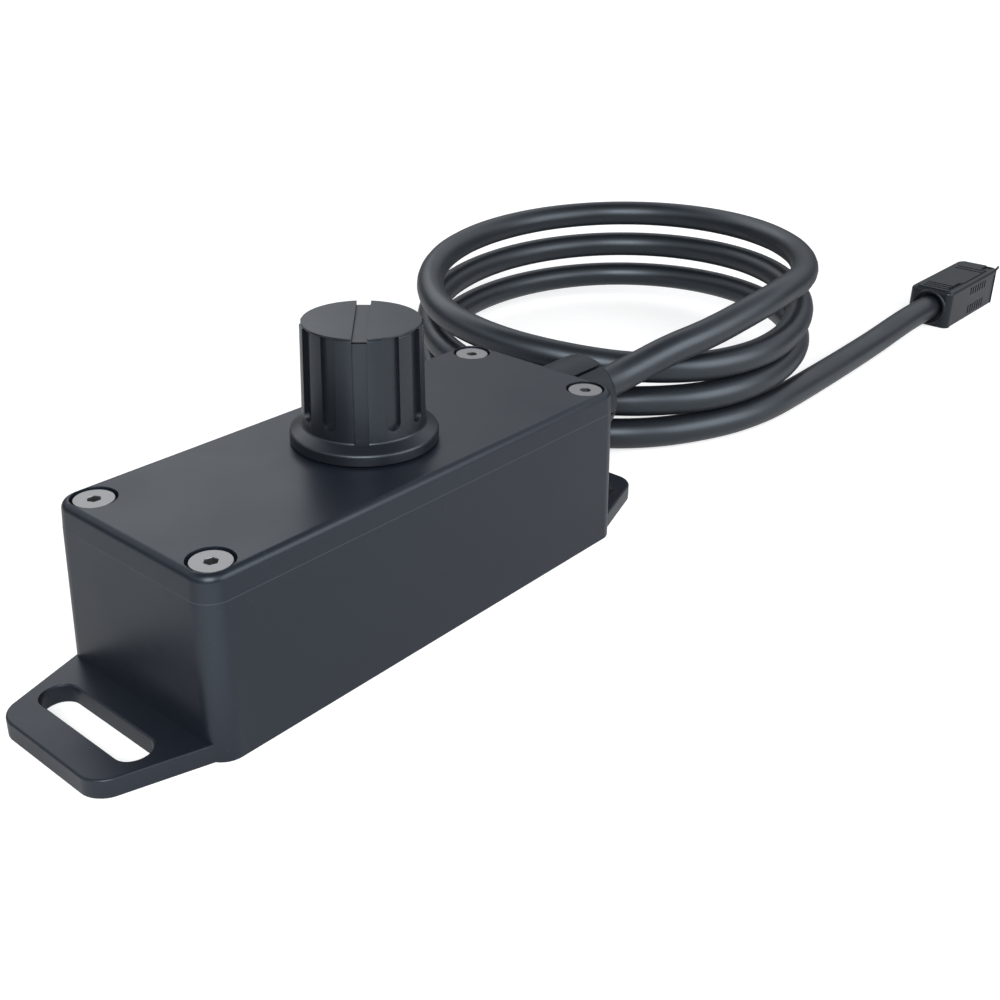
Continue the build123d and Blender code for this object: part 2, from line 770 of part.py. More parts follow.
# Parts on the board
film_length = 18.0
film_width = 8.5
film_height = 15.0
film_pitch = 15.0
film_x = 20.0 - board_length / 2
film_y = board_width / 2 - film_width
with BuildPart() as mains_capacitor:
    with BuildSketch(Plane.XY.offset(board_top + lead_stub)):
        with Locations((film_x, film_y)):
            Rectangle(film_length, film_width)
    extrude(amount=film_height)
    fillet(mains_capacitor.edges().filter_by(Axis.Z), 0.8)
    with BuildSketch(Plane.XY.offset(board_top)):
        with Locations((film_x - film_pitch / 2, film_y), (film_x + film_pitch / 2, film_y)):
            Circle(0.4)
    extrude(amount=lead_stub + 0.5)
finish(mains_capacitor, "mains_capacitor")

choke_ring = 6.2
choke_winding = 4.2
choke_x = 19.0 - board_length / 2
choke_y = 1.1 + choke_ring + choke_winding - board_width / 2
with BuildPart() as choke:
    choke_plane = Plane(
        origin=(choke_x, choke_y, board_top + choke_winding), x_dir=(1, 0, 0), z_dir=(0, -1, 0)
    )
    with BuildSketch(choke_plane):
        with Locations((choke_ring, 0)):
            Circle(choke_winding)
    revolve(axis=Axis((choke_x, choke_y, 0), (0, 0, 1)))
finish(choke, "choke")

bulk_radius = 5.0
bulk_x = board_length / 2 - 26.0
bulk_y = 3.0 + bulk_radius - board_width / 2
bulk_height = 16.0
with BuildPart() as bulk_capacitor:
    with BuildSketch(Plane(origin=(bulk_x, bulk_y, board_top), x_dir=(1, 0, 0), z_dir=(0, -1, 0))):
        with BuildLine():
            Polyline(
                (0, 0),
                (bulk_radius, 0),
                (bulk_radius, 1.8),
                (bulk_radius - 0.5, 2.3),
                (bulk_radius, 2.8),
                (bulk_radius, bulk_height - 0.4),
                (bulk_radius - 0.4, bulk_height),
                (0, bulk_height),
                close=True,
            )
        make_face()
    revolve(axis=Axis((bulk_x, bulk_y, 0), (0, 0, 1)))
finish(bulk_capacitor, "bulk_capacitor")

with BuildPart() as control_chip:
    with BuildSketch(Plane.XY.offset(board_top + lead_stub)):
        with Locations((-8, 8)):
            Rectangle(9.3, 6.2)
            with Locations((-4.65, 0)):
                Circle(0.9, mode=Mode.SUBTRACT)
    extrude(amount=3.2)
    with BuildSketch(Plane.XY.offset(board_top)):
        with Locations((-8, 8)):
            with GridLocations(2.54, 7.6, 4, 2):
                Rectangle(0.6, 0.4)
    extrude(amount=2.2)
    with BuildSketch(Plane.XY.offset(board_top + 1.6)):
        with Locations((-8, 8)):
            with GridLocations(2.54, 6.8, 4, 2):
                Rectangle(1.0, 2.0)
    extrude(amount=0.6)
finish(control_chip, "control_chip")

with BuildPart() as fuse:
    with BuildSketch(Plane.XY.offset(board_top)):
        with Locations((8, 12)):
            Circle(4.2)
    extrude(amount=7.5)
    fillet(fuse.faces().sort_by(Axis.Z)[-1].edges(), 0.8)
finish(fuse, "fuse")

with BuildPart() as resistors:
    for k in range(4):
        barrel = Plane(origin=(4 + k * 4.2, 1, board_top + 1.2), z_dir=(0, 1, 0))
        with BuildSketch(barrel):
            Circle(1.2)
        extrude(amount=6)
finish(resistors, "resistors")

# Transistor, bolted to a heat spreader that stands on the board
spreader_x = 29.0
spreader_y = half_width - wall - 4.6
spreader_width = 22.0
spreader_height = 20.0
spreader_thickness = 1.5
bolt_radius = 1.45
bolt_hole_radius = 1.6
bolt_z = board_top + 15.0
tab_width = 10.0
tab_thickness = 1.3
with BuildPart() as heat_spreader:
    with BuildSketch(Plane.XY.offset(board_top)):
        with Locations((spreader_x, spreader_y)):
            Rectangle(spreader_width, spreader_thickness)
        for side in (-1, 1):
            leg_x = spreader_x + side * (spreader_width - spreader_thickness) / 2
            with Locations((leg_x, spreader_y - spreader_thickness)):
                Rectangle(spreader_thickness, 3 * spreader_thickness)
    extrude(amount=spreader_height)
    with BuildSketch(Plane.XZ.offset(-spreader_y - spreader_thickness)):
        with Locations((spreader_x, bolt_z)):
            Circle(bolt_hole_radius)
    extrude(amount=3 * spreader_thickness, mode=Mode.SUBTRACT)
finish(heat_spreader, "heat_spreader")

tab_back_y = spreader_y - spreader_thickness / 2
tab_bottom = bolt_z - 10.0
with BuildPart() as power_transistor:
    with BuildSketch(Plane.XZ.offset(-tab_back_y)):
        with Locations((spreader_x, (tab_bottom + bolt_z + 3) / 2)):
            Rectangle(tab_width, bolt_z + 3 - tab_bottom)
        with Locations((spreader_x, bolt_z)):
            Circle(bolt_hole_radius, mode=Mode.SUBTRACT)
    extrude(amount=tab_thickness)
    with BuildSketch(Plane.XZ.offset(-tab_back_y)):
        with Locations((spreader_x, tab_bottom + 3)):
            Rectangle(tab_width, 8)
    extrude(amount=tab_thickness + 3.1)
    with BuildSketch(Plane.XY.offset(board_top)):
        for k in (-1, 0, 1):
            with Locations((spreader_x + k * 2.54, tab_back_y - 2.4)):
                Rectangle(0.9, 0.5)
    extrude(amount=tab_bottom - board_top)
finish(power_transistor, "power_transistor")

bolt_plane = Plane.XZ.offset(-tab_back_y + tab_thickness)
with BuildPart() as transistor_screw:
    with BuildSketch(bolt_plane):
        with Locations((spreader_x, bolt_z)):
            Circle(bolt_radius + 1.25)
    extrude(amount=1.8)
    with BuildSketch(bolt_plane):
        with Locations((spreader_x, bolt_z)):
            Circle(bolt_radius)
    extrude(amount=-tab_thickness - spreader_thickness - 2.2)
finish(transistor_screw, "transistor_screw")

with BuildPart() as transistor_nut:
    with BuildSketch(Plane.XZ.offset(-tab_back_y - spreader_thickness)):
        with Locations((spreader_x, bolt_z)):
            RegularPolygon(2.75, 6, major_radius=False)
            Circle(bolt_radius + fit_clearance, mode=Mode.SUBTRACT)
    extrude(amount=-1.8)
finish(transistor_nut, "transistor_nut")

# Terminal block for the cable's cores, with its clamp screws
block_x = board_length / 2 - 9.5
block_y = -2.0
block_pitch = 5.0
block_height = 10.0
core_radius = 1.2
entry_z = board_top + 4.0
entry_spots = [block_y + k * block_pitch for k in (-1, 0, 1)]
with BuildPart() as terminal_block:
    with BuildSketch(Plane.XY.offset(board_top)):
        with Locations((block_x, block_y)):
            Rectangle(8, 3 * block_pitch + 0.6)
    extrude(amount=block_height)
    chamfer(terminal_block.faces().sort_by(Axis.Z)[-1].edges().filter_by(Axis.Y), 1.5)
    with BuildSketch(Plane.YZ.offset(block_x + 4)):
        with Locations(*[(y, entry_z) for y in entry_spots]):
            Circle(core_radius + 0.1)
    extrude(amount=-5, mode=Mode.SUBTRACT)
    with BuildSketch(Plane.XY.offset(board_top + block_height)):
        with Locations(*[(block_x, y) for y in entry_spots]):
            Circle(1.6)
    extrude(amount=-3, mode=Mode.SUBTRACT)
finish(terminal_block, "terminal_block")

with BuildPart() as terminal_screws:
    with BuildSketch(Plane.XY.offset(board_top + block_height - 3)):
        with Locations(*[(block_x, y) for y in entry_spots]):
            Circle(1.6 - fit_clearance)
    extrude(amount=2)
    with BuildSketch(Plane.XY.offset(board_top + block_height - 1)):
        with Locations(*[(block_x, y) for y in entry_spots]):
            Rectangle(2.6, 0.5)
    extrude(amount=-0.7, mode=Mode.SUBTRACT)
finish(terminal_screws, "terminal_screws")

core_paths = []
for k, y in zip((-1, 0, 1), entry_spots):
    start = (cable_inner_end, k * 2.5, gland_z)
    knee = (cable_inner_end - 2.6, k * 2.5, gland_z)
    turn_in = (block_x + 7.5, y, entry_z)
    end = (block_x - 0.8, y, entry_z)
    core_paths.append([start, knee, turn_in, end])
with BuildPart() as core_wires:
    for points in core_paths:
        with BuildLine() as core_line:
            FilletPolyline(*points, radius=[2.2, 3.0])
        core_start = Plane(origin=points[0], z_dir=Vector(*points[1]) - Vector(*points[0]))
        with BuildSketch(core_start):
            Circle(core_radius)
        sweep(path=core_line.line)
finish(core_wires, "core_wires")
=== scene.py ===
"""Looks for the dimmer module: case, lid, knob, cable collar, cable, plug and the stage."""

import json
from math import cos, pi, radians, sin, tan

import bmesh
import bpy
from mathutils import Matrix, Vector


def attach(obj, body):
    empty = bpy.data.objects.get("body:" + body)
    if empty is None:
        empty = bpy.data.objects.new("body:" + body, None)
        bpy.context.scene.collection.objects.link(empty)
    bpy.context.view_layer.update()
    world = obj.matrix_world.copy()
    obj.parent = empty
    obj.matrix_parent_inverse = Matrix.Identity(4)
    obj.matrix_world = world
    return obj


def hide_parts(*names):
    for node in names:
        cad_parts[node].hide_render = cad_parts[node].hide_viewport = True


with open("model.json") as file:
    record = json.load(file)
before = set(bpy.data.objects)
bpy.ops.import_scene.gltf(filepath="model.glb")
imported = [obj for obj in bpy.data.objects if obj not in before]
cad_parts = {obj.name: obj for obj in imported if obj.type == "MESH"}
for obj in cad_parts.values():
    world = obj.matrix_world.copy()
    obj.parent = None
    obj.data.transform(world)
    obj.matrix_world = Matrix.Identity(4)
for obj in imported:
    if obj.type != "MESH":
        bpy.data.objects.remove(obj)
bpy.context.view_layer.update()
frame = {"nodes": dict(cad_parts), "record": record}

bl_info = {
    "name": "Dimmer module",
    "version": (1, 0, 0),
    "blender": (4, 5, 0),
    "location": "View3D > Sidebar > Dimmer",
    "description": "Builds the case, the knob, the cable and the plug of a dimmer module",
    "category": "Add Mesh",
}

MM = 0.001


# Sizes and colours that a user would change


class DimmerSizes(bpy.types.PropertyGroup):
    """Sizes of the case, the cable and the knob"""

    case_length: bpy.props.FloatProperty(
        name="Case length", description="Length of the case at the seam", default=0.123, unit="LENGTH"
    )
    case_width: bpy.props.FloatProperty(
        name="Case width", description="Width of the case at the seam", default=0.048, unit="LENGTH"
    )
    seam_height: bpy.props.FloatProperty(
        name="Seam height", description="Height of the lid's lower edge", default=0.0335, unit="LENGTH"
    )
    case_height: bpy.props.FloatProperty(
        name="Case height", description="Height of the lid's top", default=0.039, unit="LENGTH"
    )
    corner_radius: bpy.props.FloatProperty(
        name="Corner radius", description="Radius of the case's upright corners", default=0.005, unit="LENGTH"
    )
    lid_round: bpy.props.FloatProperty(
        name="Lid edge", description="Radius of the lid's upper edge", default=0.0016, unit="LENGTH"
    )
    cable_diameter: bpy.props.FloatProperty(
        name="Cable diameter", description="Outside diameter of the cable", default=0.0087, unit="LENGTH"
    )
    flute_count: bpy.props.IntProperty(
        name="Knob divisions",
        description="Flutes round the knob, with the pointer's place",
        default=12,
        min=6,
        max=36,
    )


class DimmerColours(bpy.types.PropertyGroup):
    """Colours of the plastics, the cable, the screws and the floor"""

    case_colour: bpy.props.FloatVectorProperty(
        name="Case", description="Colour of the case and the lid",
        default=(0.007, 0.0094, 0.0148), size=3, subtype="COLOR",
    )
    knob_colour: bpy.props.FloatVectorProperty(
        name="Knob", description="Colour of the knob",
        default=(0.006, 0.0076, 0.0107), size=3, subtype="COLOR",
    )
    cable_colour: bpy.props.FloatVectorProperty(
        name="Cable", description="Colour of the cable's sheath",
        default=(0.0065, 0.0082, 0.0112), size=3, subtype="COLOR",
    )
    screw_colour: bpy.props.FloatVectorProperty(
        name="Screws", description="Colour of the screw heads",
        default=(0.35, 0.35, 0.355), size=3, subtype="COLOR",
    )
    floor_colour: bpy.props.FloatVectorProperty(
        name="Floor", description="Colour of the floor",
        default=(0.55, 0.55, 0.55), size=3, subtype="COLOR",
    )


def colours():
    return bpy.context.scene.dimmer_colours


def sizes():
    return bpy.context.scene.dimmer_sizes


# Small modelling helpers. All their lengths are in millimetres.

TOUCH = 0.01  # How near a place counts as reached
ALONG = 0.9  # How much of a direction has to lie along an axis
CORNER_STEPS = 12


def begin():
    """Leave edit mode and deselect everything, CAD nodes included."""
    if bpy.context.object and bpy.context.object.mode != "OBJECT":
        bpy.ops.object.mode_set(mode="OBJECT")
    bpy.ops.object.select_all(action="DESELECT")


def choose(piece):
    """Make one piece the only selected and active object."""
    begin()
    piece.select_set(True)
    bpy.context.view_layer.objects.active = piece


def settle(piece):
    """Put the piece's place, turn and scale into its mesh."""
    choose(piece)
    bpy.ops.object.transform_apply(location=True, rotation=True, scale=True)
    return piece


def box(name, corner, opposite):
    """A block between two opposite corners."""
    begin()
    spans = [sorted(pair) for pair in zip(corner, opposite)]
    bpy.ops.mesh.primitive_cube_add(size=1, location=[(a + b) / 2 * MM for a, b in spans])
    piece = bpy.context.object
    piece.name = name
    piece.scale = [(b - a) * MM for a, b in spans]
    return settle(piece)


def rod(name, radius, low, high, place=(0, 0), axis="Z", sides=64, turn=0.0):
    """A round or many-sided rod, upright or along the X axis."""
    begin()
    middle = (low + high) / 2
    lying = axis == "X"
    bpy.ops.mesh.primitive_cylinder_add(
        vertices=sides,
        radius=radius * MM,
        depth=(high - low) * MM,
        location=[v * MM for v in ((middle, *place) if lying else (*place, middle))],
        rotation=(0, pi / 2, 0) if lying else (0, 0, turn),
    )
    piece = bpy.context.object
    piece.name = name
    return settle(piece)


def number_by_place():
    """Number what is in edit mode by its place, since an extrusion numbers it differently each run."""
    data = bpy.context.object.data
    mesh = bmesh.from_edit_mesh(data)
    for parts, key in (
        (mesh.verts, lambda corner: tuple(corner.co)),
        (mesh.edges, lambda edge: sorted(corner.index for corner in edge.verts)),
        (mesh.faces, lambda face: sorted(corner.index for corner in face.verts)),
    ):
        for number, part in enumerate(sorted(parts, key=key)):
            part.index = number
        parts.sort()
    bmesh.update_edit_mesh(data)


def lathe(name, profile, sides=128, hollow=False):
    """A turned piece: a circle extruded and resized from one ring of the profile to the next."""
    begin()
    radius, height = profile[0]
    bpy.ops.mesh.primitive_circle_add(
        vertices=sides,
        radius=radius * MM,
        fill_type="NOTHING" if hollow else "NGON",
        location=(0, 0, height * MM),
    )
    piece = bpy.context.object
    piece.name = name
    settle(piece)
    bpy.ops.object.mode_set(mode="EDIT")
    bpy.ops.mesh.select_mode(type="EDGE")
    bpy.ops.mesh.select_all(action="SELECT")
    for next_radius, next_height in profile[1:]:
        rise = (next_height - height) * MM
        bpy.ops.mesh.extrude_edges_move(TRANSFORM_OT_translate={"value": (0, 0, rise)})
        ratio = next_radius / radius
        bpy.ops.transform.resize(value=(ratio, ratio, 1), center_override=(0, 0, next_height * MM))
        radius, height = next_radius, next_height
    if not hollow:
        bpy.ops.mesh.edge_face_add()
    bpy.ops.mesh.select_all(action="SELECT")
    bpy.ops.mesh.remove_doubles(threshold=0.000001)
    bpy.ops.mesh.normals_make_consistent(inside=False)
    number_by_place()
    bpy.ops.object.mode_set(mode="OBJECT")
    return piece


def pick(piece, kind, test):
    """In edit mode, select the edges or faces whose middle and direction pass the test."""
    choose(piece)
    bpy.ops.object.mode_set(mode="EDIT")
    bpy.ops.mesh.select_mode(type=kind)
    bpy.ops.mesh.select_all(action="DESELECT")
    mesh = bmesh.from_edit_mesh(piece.data)
    mesh.normal_update()
    for part in mesh.edges if kind == "EDGE" else mesh.faces:
        if kind == "EDGE":
            a, b = (v.co / MM for v in part.verts)
            part.select_set(bool(test((a + b) / 2, (b - a).normalized())))
        else:
            part.select_set(bool(test(part.calc_center_median() / MM, part.normal)))
    mesh.select_flush_mode()
    bmesh.update_edit_mesh(piece.data)


def round_edges(piece, width, segments, test):
    """Round the edges whose middle and direction pass the test."""
    pick(piece, "EDGE", test)
    bpy.ops.mesh.bevel(offset=width * MM, segments=segments, profile=0.5, affect="EDGES")
    bpy.ops.object.mode_set(mode="OBJECT")


def resize_picked(value, centre=(0, 0, 0)):
    """Resize what is picked about a centre and go back to object mode."""
    bpy.ops.transform.resize(value=value, center_override=[v * MM for v in centre])
    bpy.ops.object.mode_set(mode="OBJECT")


def shift_picked(x, y, z):
    """Move what is picked and go back to object mode."""
    bpy.ops.transform.translate(value=(x * MM, y * MM, z * MM))
    bpy.ops.object.mode_set(mode="OBJECT")


def rounded_box(name, corner, opposite, radius, segments):
    """A block with rounded upright edges."""
    piece = box(name, corner, opposite)
    round_edges(piece, radius, segments, lambda middle, way: abs(way.z) > ALONG)
    return piece


def modify(piece, kind, **settings):
    """Add a modifier with these settings and apply it."""
    choose(piece)
    modifier = piece.modifiers.new(kind.title(), kind)
    for key, value in settings.items():
        setattr(modifier, key, value)
    bpy.ops.object.modifier_apply(modifier=modifier.name)


def combine(piece, other, operation):
    """Cut the other piece out of this one, or join it on, and remove the other."""
    modify(piece, "BOOLEAN", operation=operation, solver="EXACT", object=other)
    if not piece.data.polygons:
        raise RuntimeError(f"{piece.name}: nothing left after {operation} with {other.name}")
    bpy.data.objects.remove(other)


def cut(piece, *others):
    for other in others:
        combine(piece, other, "DIFFERENCE")


def unite(piece, *others):
    for other in others:
        combine(piece, other, "UNION")


def join(pieces, name):
    """Several meshes in one object."""
    begin()
    for piece in pieces:
        piece.select_set(True)
    bpy.context.view_layer.objects.active = pieces[0]
    bpy.ops.object.join()
    pieces[0].name = name
    return pieces[0]


def clean(piece):
    """Merge doubles and dissolve the flat leftovers of the cuts."""
    choose(piece)
    bpy.ops.object.mode_set(mode="EDIT")
    bpy.ops.mesh.select_all(action="SELECT")
    bpy.ops.mesh.remove_doubles(threshold=0.002 * MM)
    bpy.ops.mesh.dissolve_limited(angle_limit=radians(0.5))
    bpy.ops.object.mode_set(mode="OBJECT")


def soften(piece, width, angle=40):
    """Small rounded edges wherever the piece bends by more than the angle."""
    modify(
        piece,
        "BEVEL",
        width=width * MM,
        segments=2,
        limit_method="ANGLE",
        angle_limit=radians(angle),
        miter_outer="MITER_ARC",
        use_clamp_overlap=True,
        harden_normals=False,
    )


def shade(piece, angle):
    """Smooth the rounded edges and keep the broad faces flat."""
    choose(piece)
    bpy.ops.object.shade_smooth_by_angle(angle=radians(angle))
    modify(piece, "WEIGHTED_NORMAL", mode="FACE_AREA", weight=80, keep_sharp=True)


def copy_of(piece, name):
    """A copy with its own mesh."""
    twin = piece.copy()
    twin.data = piece.data.copy()
    twin.name = name
    bpy.context.scene.collection.objects.link(twin)
    return twin


def turn_about_z(piece, angle):
    choose(piece)
    piece.rotation_euler = (0, 0, angle)
    settle(piece)


def turn_and_lift(piece, turn, height):
    """Turn a piece about the origin, then lift it."""
    choose(piece)
    piece.rotation_euler = turn
    settle(piece)
    piece.location = (0, 0, height * MM)
    settle(piece)


def dress(piece, body, slot, finish_name, *nodes):
    """Give the piece its finish, hang it on the body it rides on and hide the CAD nodes it stands for."""
    piece.data.materials.clear()
    piece.data.materials.append(finish(finish_name))
    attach(piece, body)
    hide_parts(*nodes)


# Shared shader effects


def add_node(tree, kind, inputs=(), **settings):
    """A shader node with its settings, and with a value or a link for each input that is named."""
    node = tree.nodes.new(f"ShaderNode{kind}")
    for key, value in settings.items():
        setattr(node, key, value)
    for key, value in dict(inputs).items():
        if isinstance(value, bpy.types.NodeSocket):
            tree.links.new(value, node.inputs[key])
        else:
            node.inputs[key].default_value = value
    return node


def calculate(tree, operation, *values):
    """The result of a calculation with values or links."""
    return add_node(tree, "Math", enumerate(values), operation=operation).outputs[0]


def spread_over(tree, value, start, end, low=0.0, high=1.0, **settings):
    """A value's way from start to end, as a way from low to high."""
    inputs = {"Value": value, "From Min": start, "From Max": end, "To Min": low, "To Max": high}
    return add_node(tree, "MapRange", inputs, **settings).outputs["Result"]


def mix_colours(tree, factor, first, second):
    inputs = {"Factor": factor, "A": first, "B": second}
    return add_node(tree, "Mix", inputs, data_type="RGBA").outputs["Result"]


def new_group(name, inputs):
    """A node group that gives a colour, a roughness and a height, with its input and output nodes."""
    group = bpy.data.node_groups.new(name, "ShaderNodeTree")
    for label, kind, value in inputs:
        socket = group.interface.new_socket(name=label, in_out="INPUT", socket_type=kind)
        socket.default_value = value
    group.interface.new_socket(name="Colour", in_out="OUTPUT", socket_type="NodeSocketColor")
    for label in ("Roughness", "Height"):
        group.interface.new_socket(name=label, in_out="OUTPUT", socket_type="NodeSocketFloat")
    return group, group.nodes.new("NodeGroupInput").outputs, group.nodes.new("NodeGroupOutput").inputs


def moulded_surface():
    """Fine spark-eroded grain, broad cloudiness and a few pale flecks."""
    group, given, result = new_group(
        "moulded_surface",
        [
            ("Colour", "NodeSocketColor", (0.06, 0.06, 0.07, 1)),
            ("Grain scale", "NodeSocketFloat", 3200.0),
            ("Cloud scale", "NodeSocketFloat", 45.0),
            ("Cloud depth", "NodeSocketFloat", 0.12),
            ("Low roughness", "NodeSocketFloat", 0.42),
            ("High roughness", "NodeSocketFloat", 0.52),
        ],
    )
    place = add_node(group, "TexCoord").outputs["Object"]
    grain = add_node(
        group, "TexNoise", {"Vector": place, "Scale": given["Grain scale"], "Detail": 3.0, "Roughness": 0.6}
    ).outputs["Fac"]
    cloud = add_node(
        group, "TexNoise", {"Vector": place, "Scale": given["Cloud scale"], "Detail": 4.0}
    ).outputs["Fac"]
    # Colour: lighter and darker clouds around the given colour, with the flecks over them
    depth = calculate(group, "MULTIPLY_ADD", cloud, given["Cloud depth"], 0.94)
    tint = add_node(group, "VectorMath", {0: given["Colour"], "Scale": depth}, operation="SCALE")
    fleck_noise = add_node(group, "TexNoise", {"Vector": place, "Scale": 900.0, "Detail": 2.0})
    fleck = spread_over(group, fleck_noise.outputs["Fac"], 0.68, 0.78, 0.0, 0.25)
    dusty = mix_colours(group, fleck, tint.outputs["Vector"], (0.035, 0.037, 0.04, 1))
    group.links.new(dusty, result["Colour"])
    # Roughness follows the clouds and the grain
    both = calculate(group, "MULTIPLY_ADD", grain, 0.35, cloud)
    rough = spread_over(group, both, 0.45, 0.9, given["Low roughness"], given["High roughness"])
    group.links.new(rough, result["Roughness"])
    group.links.new(grain, result["Height"])
    return group


def brushed_surface():
    """Turned or plated metal: a fine grain and small tone changes."""
    group, given, result = new_group(
        "brushed_surface",
        [
            ("Colour", "NodeSocketColor", (0.5, 0.5, 0.5, 1)),
            ("Line scale", "NodeSocketFloat", 2500.0),
            ("Low roughness", "NodeSocketFloat", 0.3),
            ("High roughness", "NodeSocketFloat", 0.5),
        ],
    )
    place = add_node(group, "TexCoord").outputs["Object"]
    lines = add_node(
        group, "TexNoise", {"Vector": place, "Scale": given["Line scale"], "Detail": 4.0}
    ).outputs["Fac"]
    tone = spread_over(group, lines, 0.0, 1.0, 0.86, 1.1)
    tint = add_node(group, "VectorMath", {0: given["Colour"], "Scale": tone}, operation="SCALE")
    group.links.new(tint.outputs["Vector"], result["Colour"])
    rough = spread_over(group, lines, 0.0, 1.0, given["Low roughness"], given["High roughness"])
    group.links.new(rough, result["Roughness"])
    group.links.new(lines, result["Height"])
    return group


def new_surface(name, group_name, maker, values, bump_strength, bump_depth):
    """A material whose Principled shader is fed by one of the shared groups."""
    material = bpy.data.materials.new(name)
    material.use_nodes = True
    tree = material.node_tree
    shader = tree.nodes["Principled BSDF"]
    surface = tree.nodes.new("ShaderNodeGroup")
    surface.node_tree = bpy.data.node_groups.get(group_name) or maker()
    for key, value in values.items():
        surface.inputs[key].default_value = value
    bump = add_node(tree, "Bump", {"Strength": bump_strength, "Distance": bump_depth * MM})
    tree.links.new(surface.outputs["Colour"], shader.inputs["Base Color"])
    tree.links.new(surface.outputs["Roughness"], shader.inputs["Roughness"])
    tree.links.new(surface.outputs["Height"], bump.inputs["Height"])
    tree.links.new(bump.outputs["Normal"], shader.inputs["Normal"])
    return material, shader


def plastic(name, colour, low=0.40, high=0.50, grain=3200.0, depth=0.12, bump=0.10, level=0.45):
    """Moulded plastic or rubber with a fine grain."""
    values = {
        "Colour": (*colour, 1),
        "Grain scale": grain,
        "Cloud depth": depth,
        "Low roughness": low,
        "High roughness": high,
    }
    material, shader = new_surface(name, "moulded_surface", moulded_surface, values, bump, 0.03)
    shader.inputs["Specular IOR Level"].default_value = level
    shader.inputs["Specular Tint"].default_value = (0.80, 0.90, 1.0, 1)
    return material


def metal(name, colour, low=0.28, high=0.45, lines=2500.0):
    """Turned, plated or drawn metal."""
    values = {"Colour": (*colour, 1), "Line scale": lines, "Low roughness": low, "High roughness": high}
    material, shader = new_surface(name, "brushed_surface", brushed_surface, values, 0.05, 0.02)
    shader.inputs["Metallic"].default_value = 1.0
    return material


def tone_by_height(material, colour, operation, *limits):
    """Give the surface another colour where a test of its height holds."""
    tree = material.node_tree
    base_colour = tree.nodes["Principled BSDF"].inputs["Base Color"]
    plain = base_colour.links[0].from_socket
    place = add_node(tree, "TexCoord")
    parts = add_node(tree, "SeparateXYZ", {0: place.outputs["Object"]})
    zone = calculate(tree, operation, parts.outputs["Z"], *limits)
    tree.links.new(mix_colours(tree, zone, plain, (*colour, 1)), base_colour)
    return material


def case_shell(name, colour, **keys):
    """Moulded case plastic with a pale line painted along the seam: a painted highlight."""
    shell = plastic(name, colour, **keys)
    # A paler tone in a thin band at the seam's height: painted highlight along the seam.
    return tone_by_height(shell, (0.03, 0.034, 0.04), "COMPARE", sizes().seam_height, 0.11 * MM)


def screw_with_painted_socket_shade(name, colour, **keys):
    """Plated steel, with painted shade darkening it down in the socket."""
    steel = metal(name, colour, **keys)
    # Darker below the head's top: painted shade in the hex socket.
    return tone_by_height(steel, (0.17, 0.17, 0.173), "LESS_THAN", sizes().case_height - 0.6 * MM)


# Finishes. A colour given by name is one that the user sets.
FINISHES = {
    "case_plastic": (case_shell, "case_colour", {"low": 0.33, "high": 0.41, "level": 0.47}),
    "knob_plastic": (plastic, "knob_colour", {"low": 0.33, "high": 0.41, "level": 0.67}),
    "gland_plastic": (plastic, (0.009, 0.011, 0.014), {"low": 0.38, "high": 0.48, "level": 0.42}),
    "plug_plastic": (plastic, (0.008, 0.0095, 0.0125), {"low": 0.33, "high": 0.41, "level": 0.47}),
    "cable_rubber": (
        plastic,
        "cable_colour",
        {"low": 0.36, "high": 0.44, "grain": 2200.0, "depth": 0.10, "bump": 0.06, "level": 0.8},
    ),
    "screw_metal": (screw_with_painted_socket_shade, "screw_colour", {"low": 0.42, "high": 0.55}),
    "seal_rubber": (plastic, (0.018, 0.018, 0.019), {"low": 0.6, "high": 0.75, "grain": 1800.0}),
    "steel": (metal, (0.56, 0.56, 0.57), {}),
    "brass": (metal, (0.78, 0.60, 0.28), {"low": 0.25, "high": 0.4}),
    "aluminium": (metal, (0.74, 0.75, 0.76), {"low": 0.3, "high": 0.45, "lines": 1200.0}),
    "phenolic": (plastic, (0.24, 0.12, 0.05), {"grain": 900.0, "depth": 0.3}),
    "board": (plastic, (0.03, 0.16, 0.06), {"low": 0.25, "high": 0.35, "grain": 1200.0, "depth": 0.25}),
    "inner_plastic": (plastic, (0.06, 0.20, 0.10), {}),
    "white_plastic": (plastic, (0.72, 0.72, 0.69), {"depth": 0.05}),
    "capacitor_film": (plastic, (0.62, 0.45, 0.06), {"low": 0.2, "high": 0.3}),
    "capacitor_sleeve": (plastic, (0.03, 0.04, 0.10), {"low": 0.15, "high": 0.25}),
    "copper_winding": (metal, (0.55, 0.22, 0.08), {"low": 0.3, "high": 0.45, "lines": 1800.0}),
    "chip_black": (plastic, (0.015, 0.015, 0.016), {"low": 0.5, "high": 0.6}),
    "resistor_body": (plastic, (0.45, 0.36, 0.20), {"depth": 0.2}),
    "core_sheath": (plastic, (0.16, 0.07, 0.03), {"low": 0.3, "high": 0.4}),
}
MADE = {}


def finish(name):
    """The material of this finish, made the first time it is asked for."""
    if name not in MADE:
        maker, colour, keys = FINISHES[name]
        if isinstance(colour, str):
            colour = tuple(getattr(colours(), colour))
        MADE[name] = maker(name, colour, **keys)
    return MADE[name]


# Case. Sizes here and below are in millimetres.

WALL = 2.4
BOTTOM = 2.6
FLARE = 0.7  # How far the walls lean out down to the floor
INNER_RADIUS = 2.6

FOOT_REACH = 21.3
FOOT_HEIGHT = 4.0
FOOT_ROOT_HALF, FOOT_TIP_HALF = 23.0, 15.5
FOOT_TIP_RADIUS = 4.0
FOOT_RIM = 0.5

SLOT_PLACE = 10.3  # From the case's end wall to the middle of the slot
SLOT_HALF_X, SLOT_HALF_Y = 3.8, 15.4
SLOT_RADIUS = 3.6
RIM_LOW, RIM_HIGH = 3.7, 4.4
RIM_HALF_X, RIM_HALF_Y = 4.5, 16.1

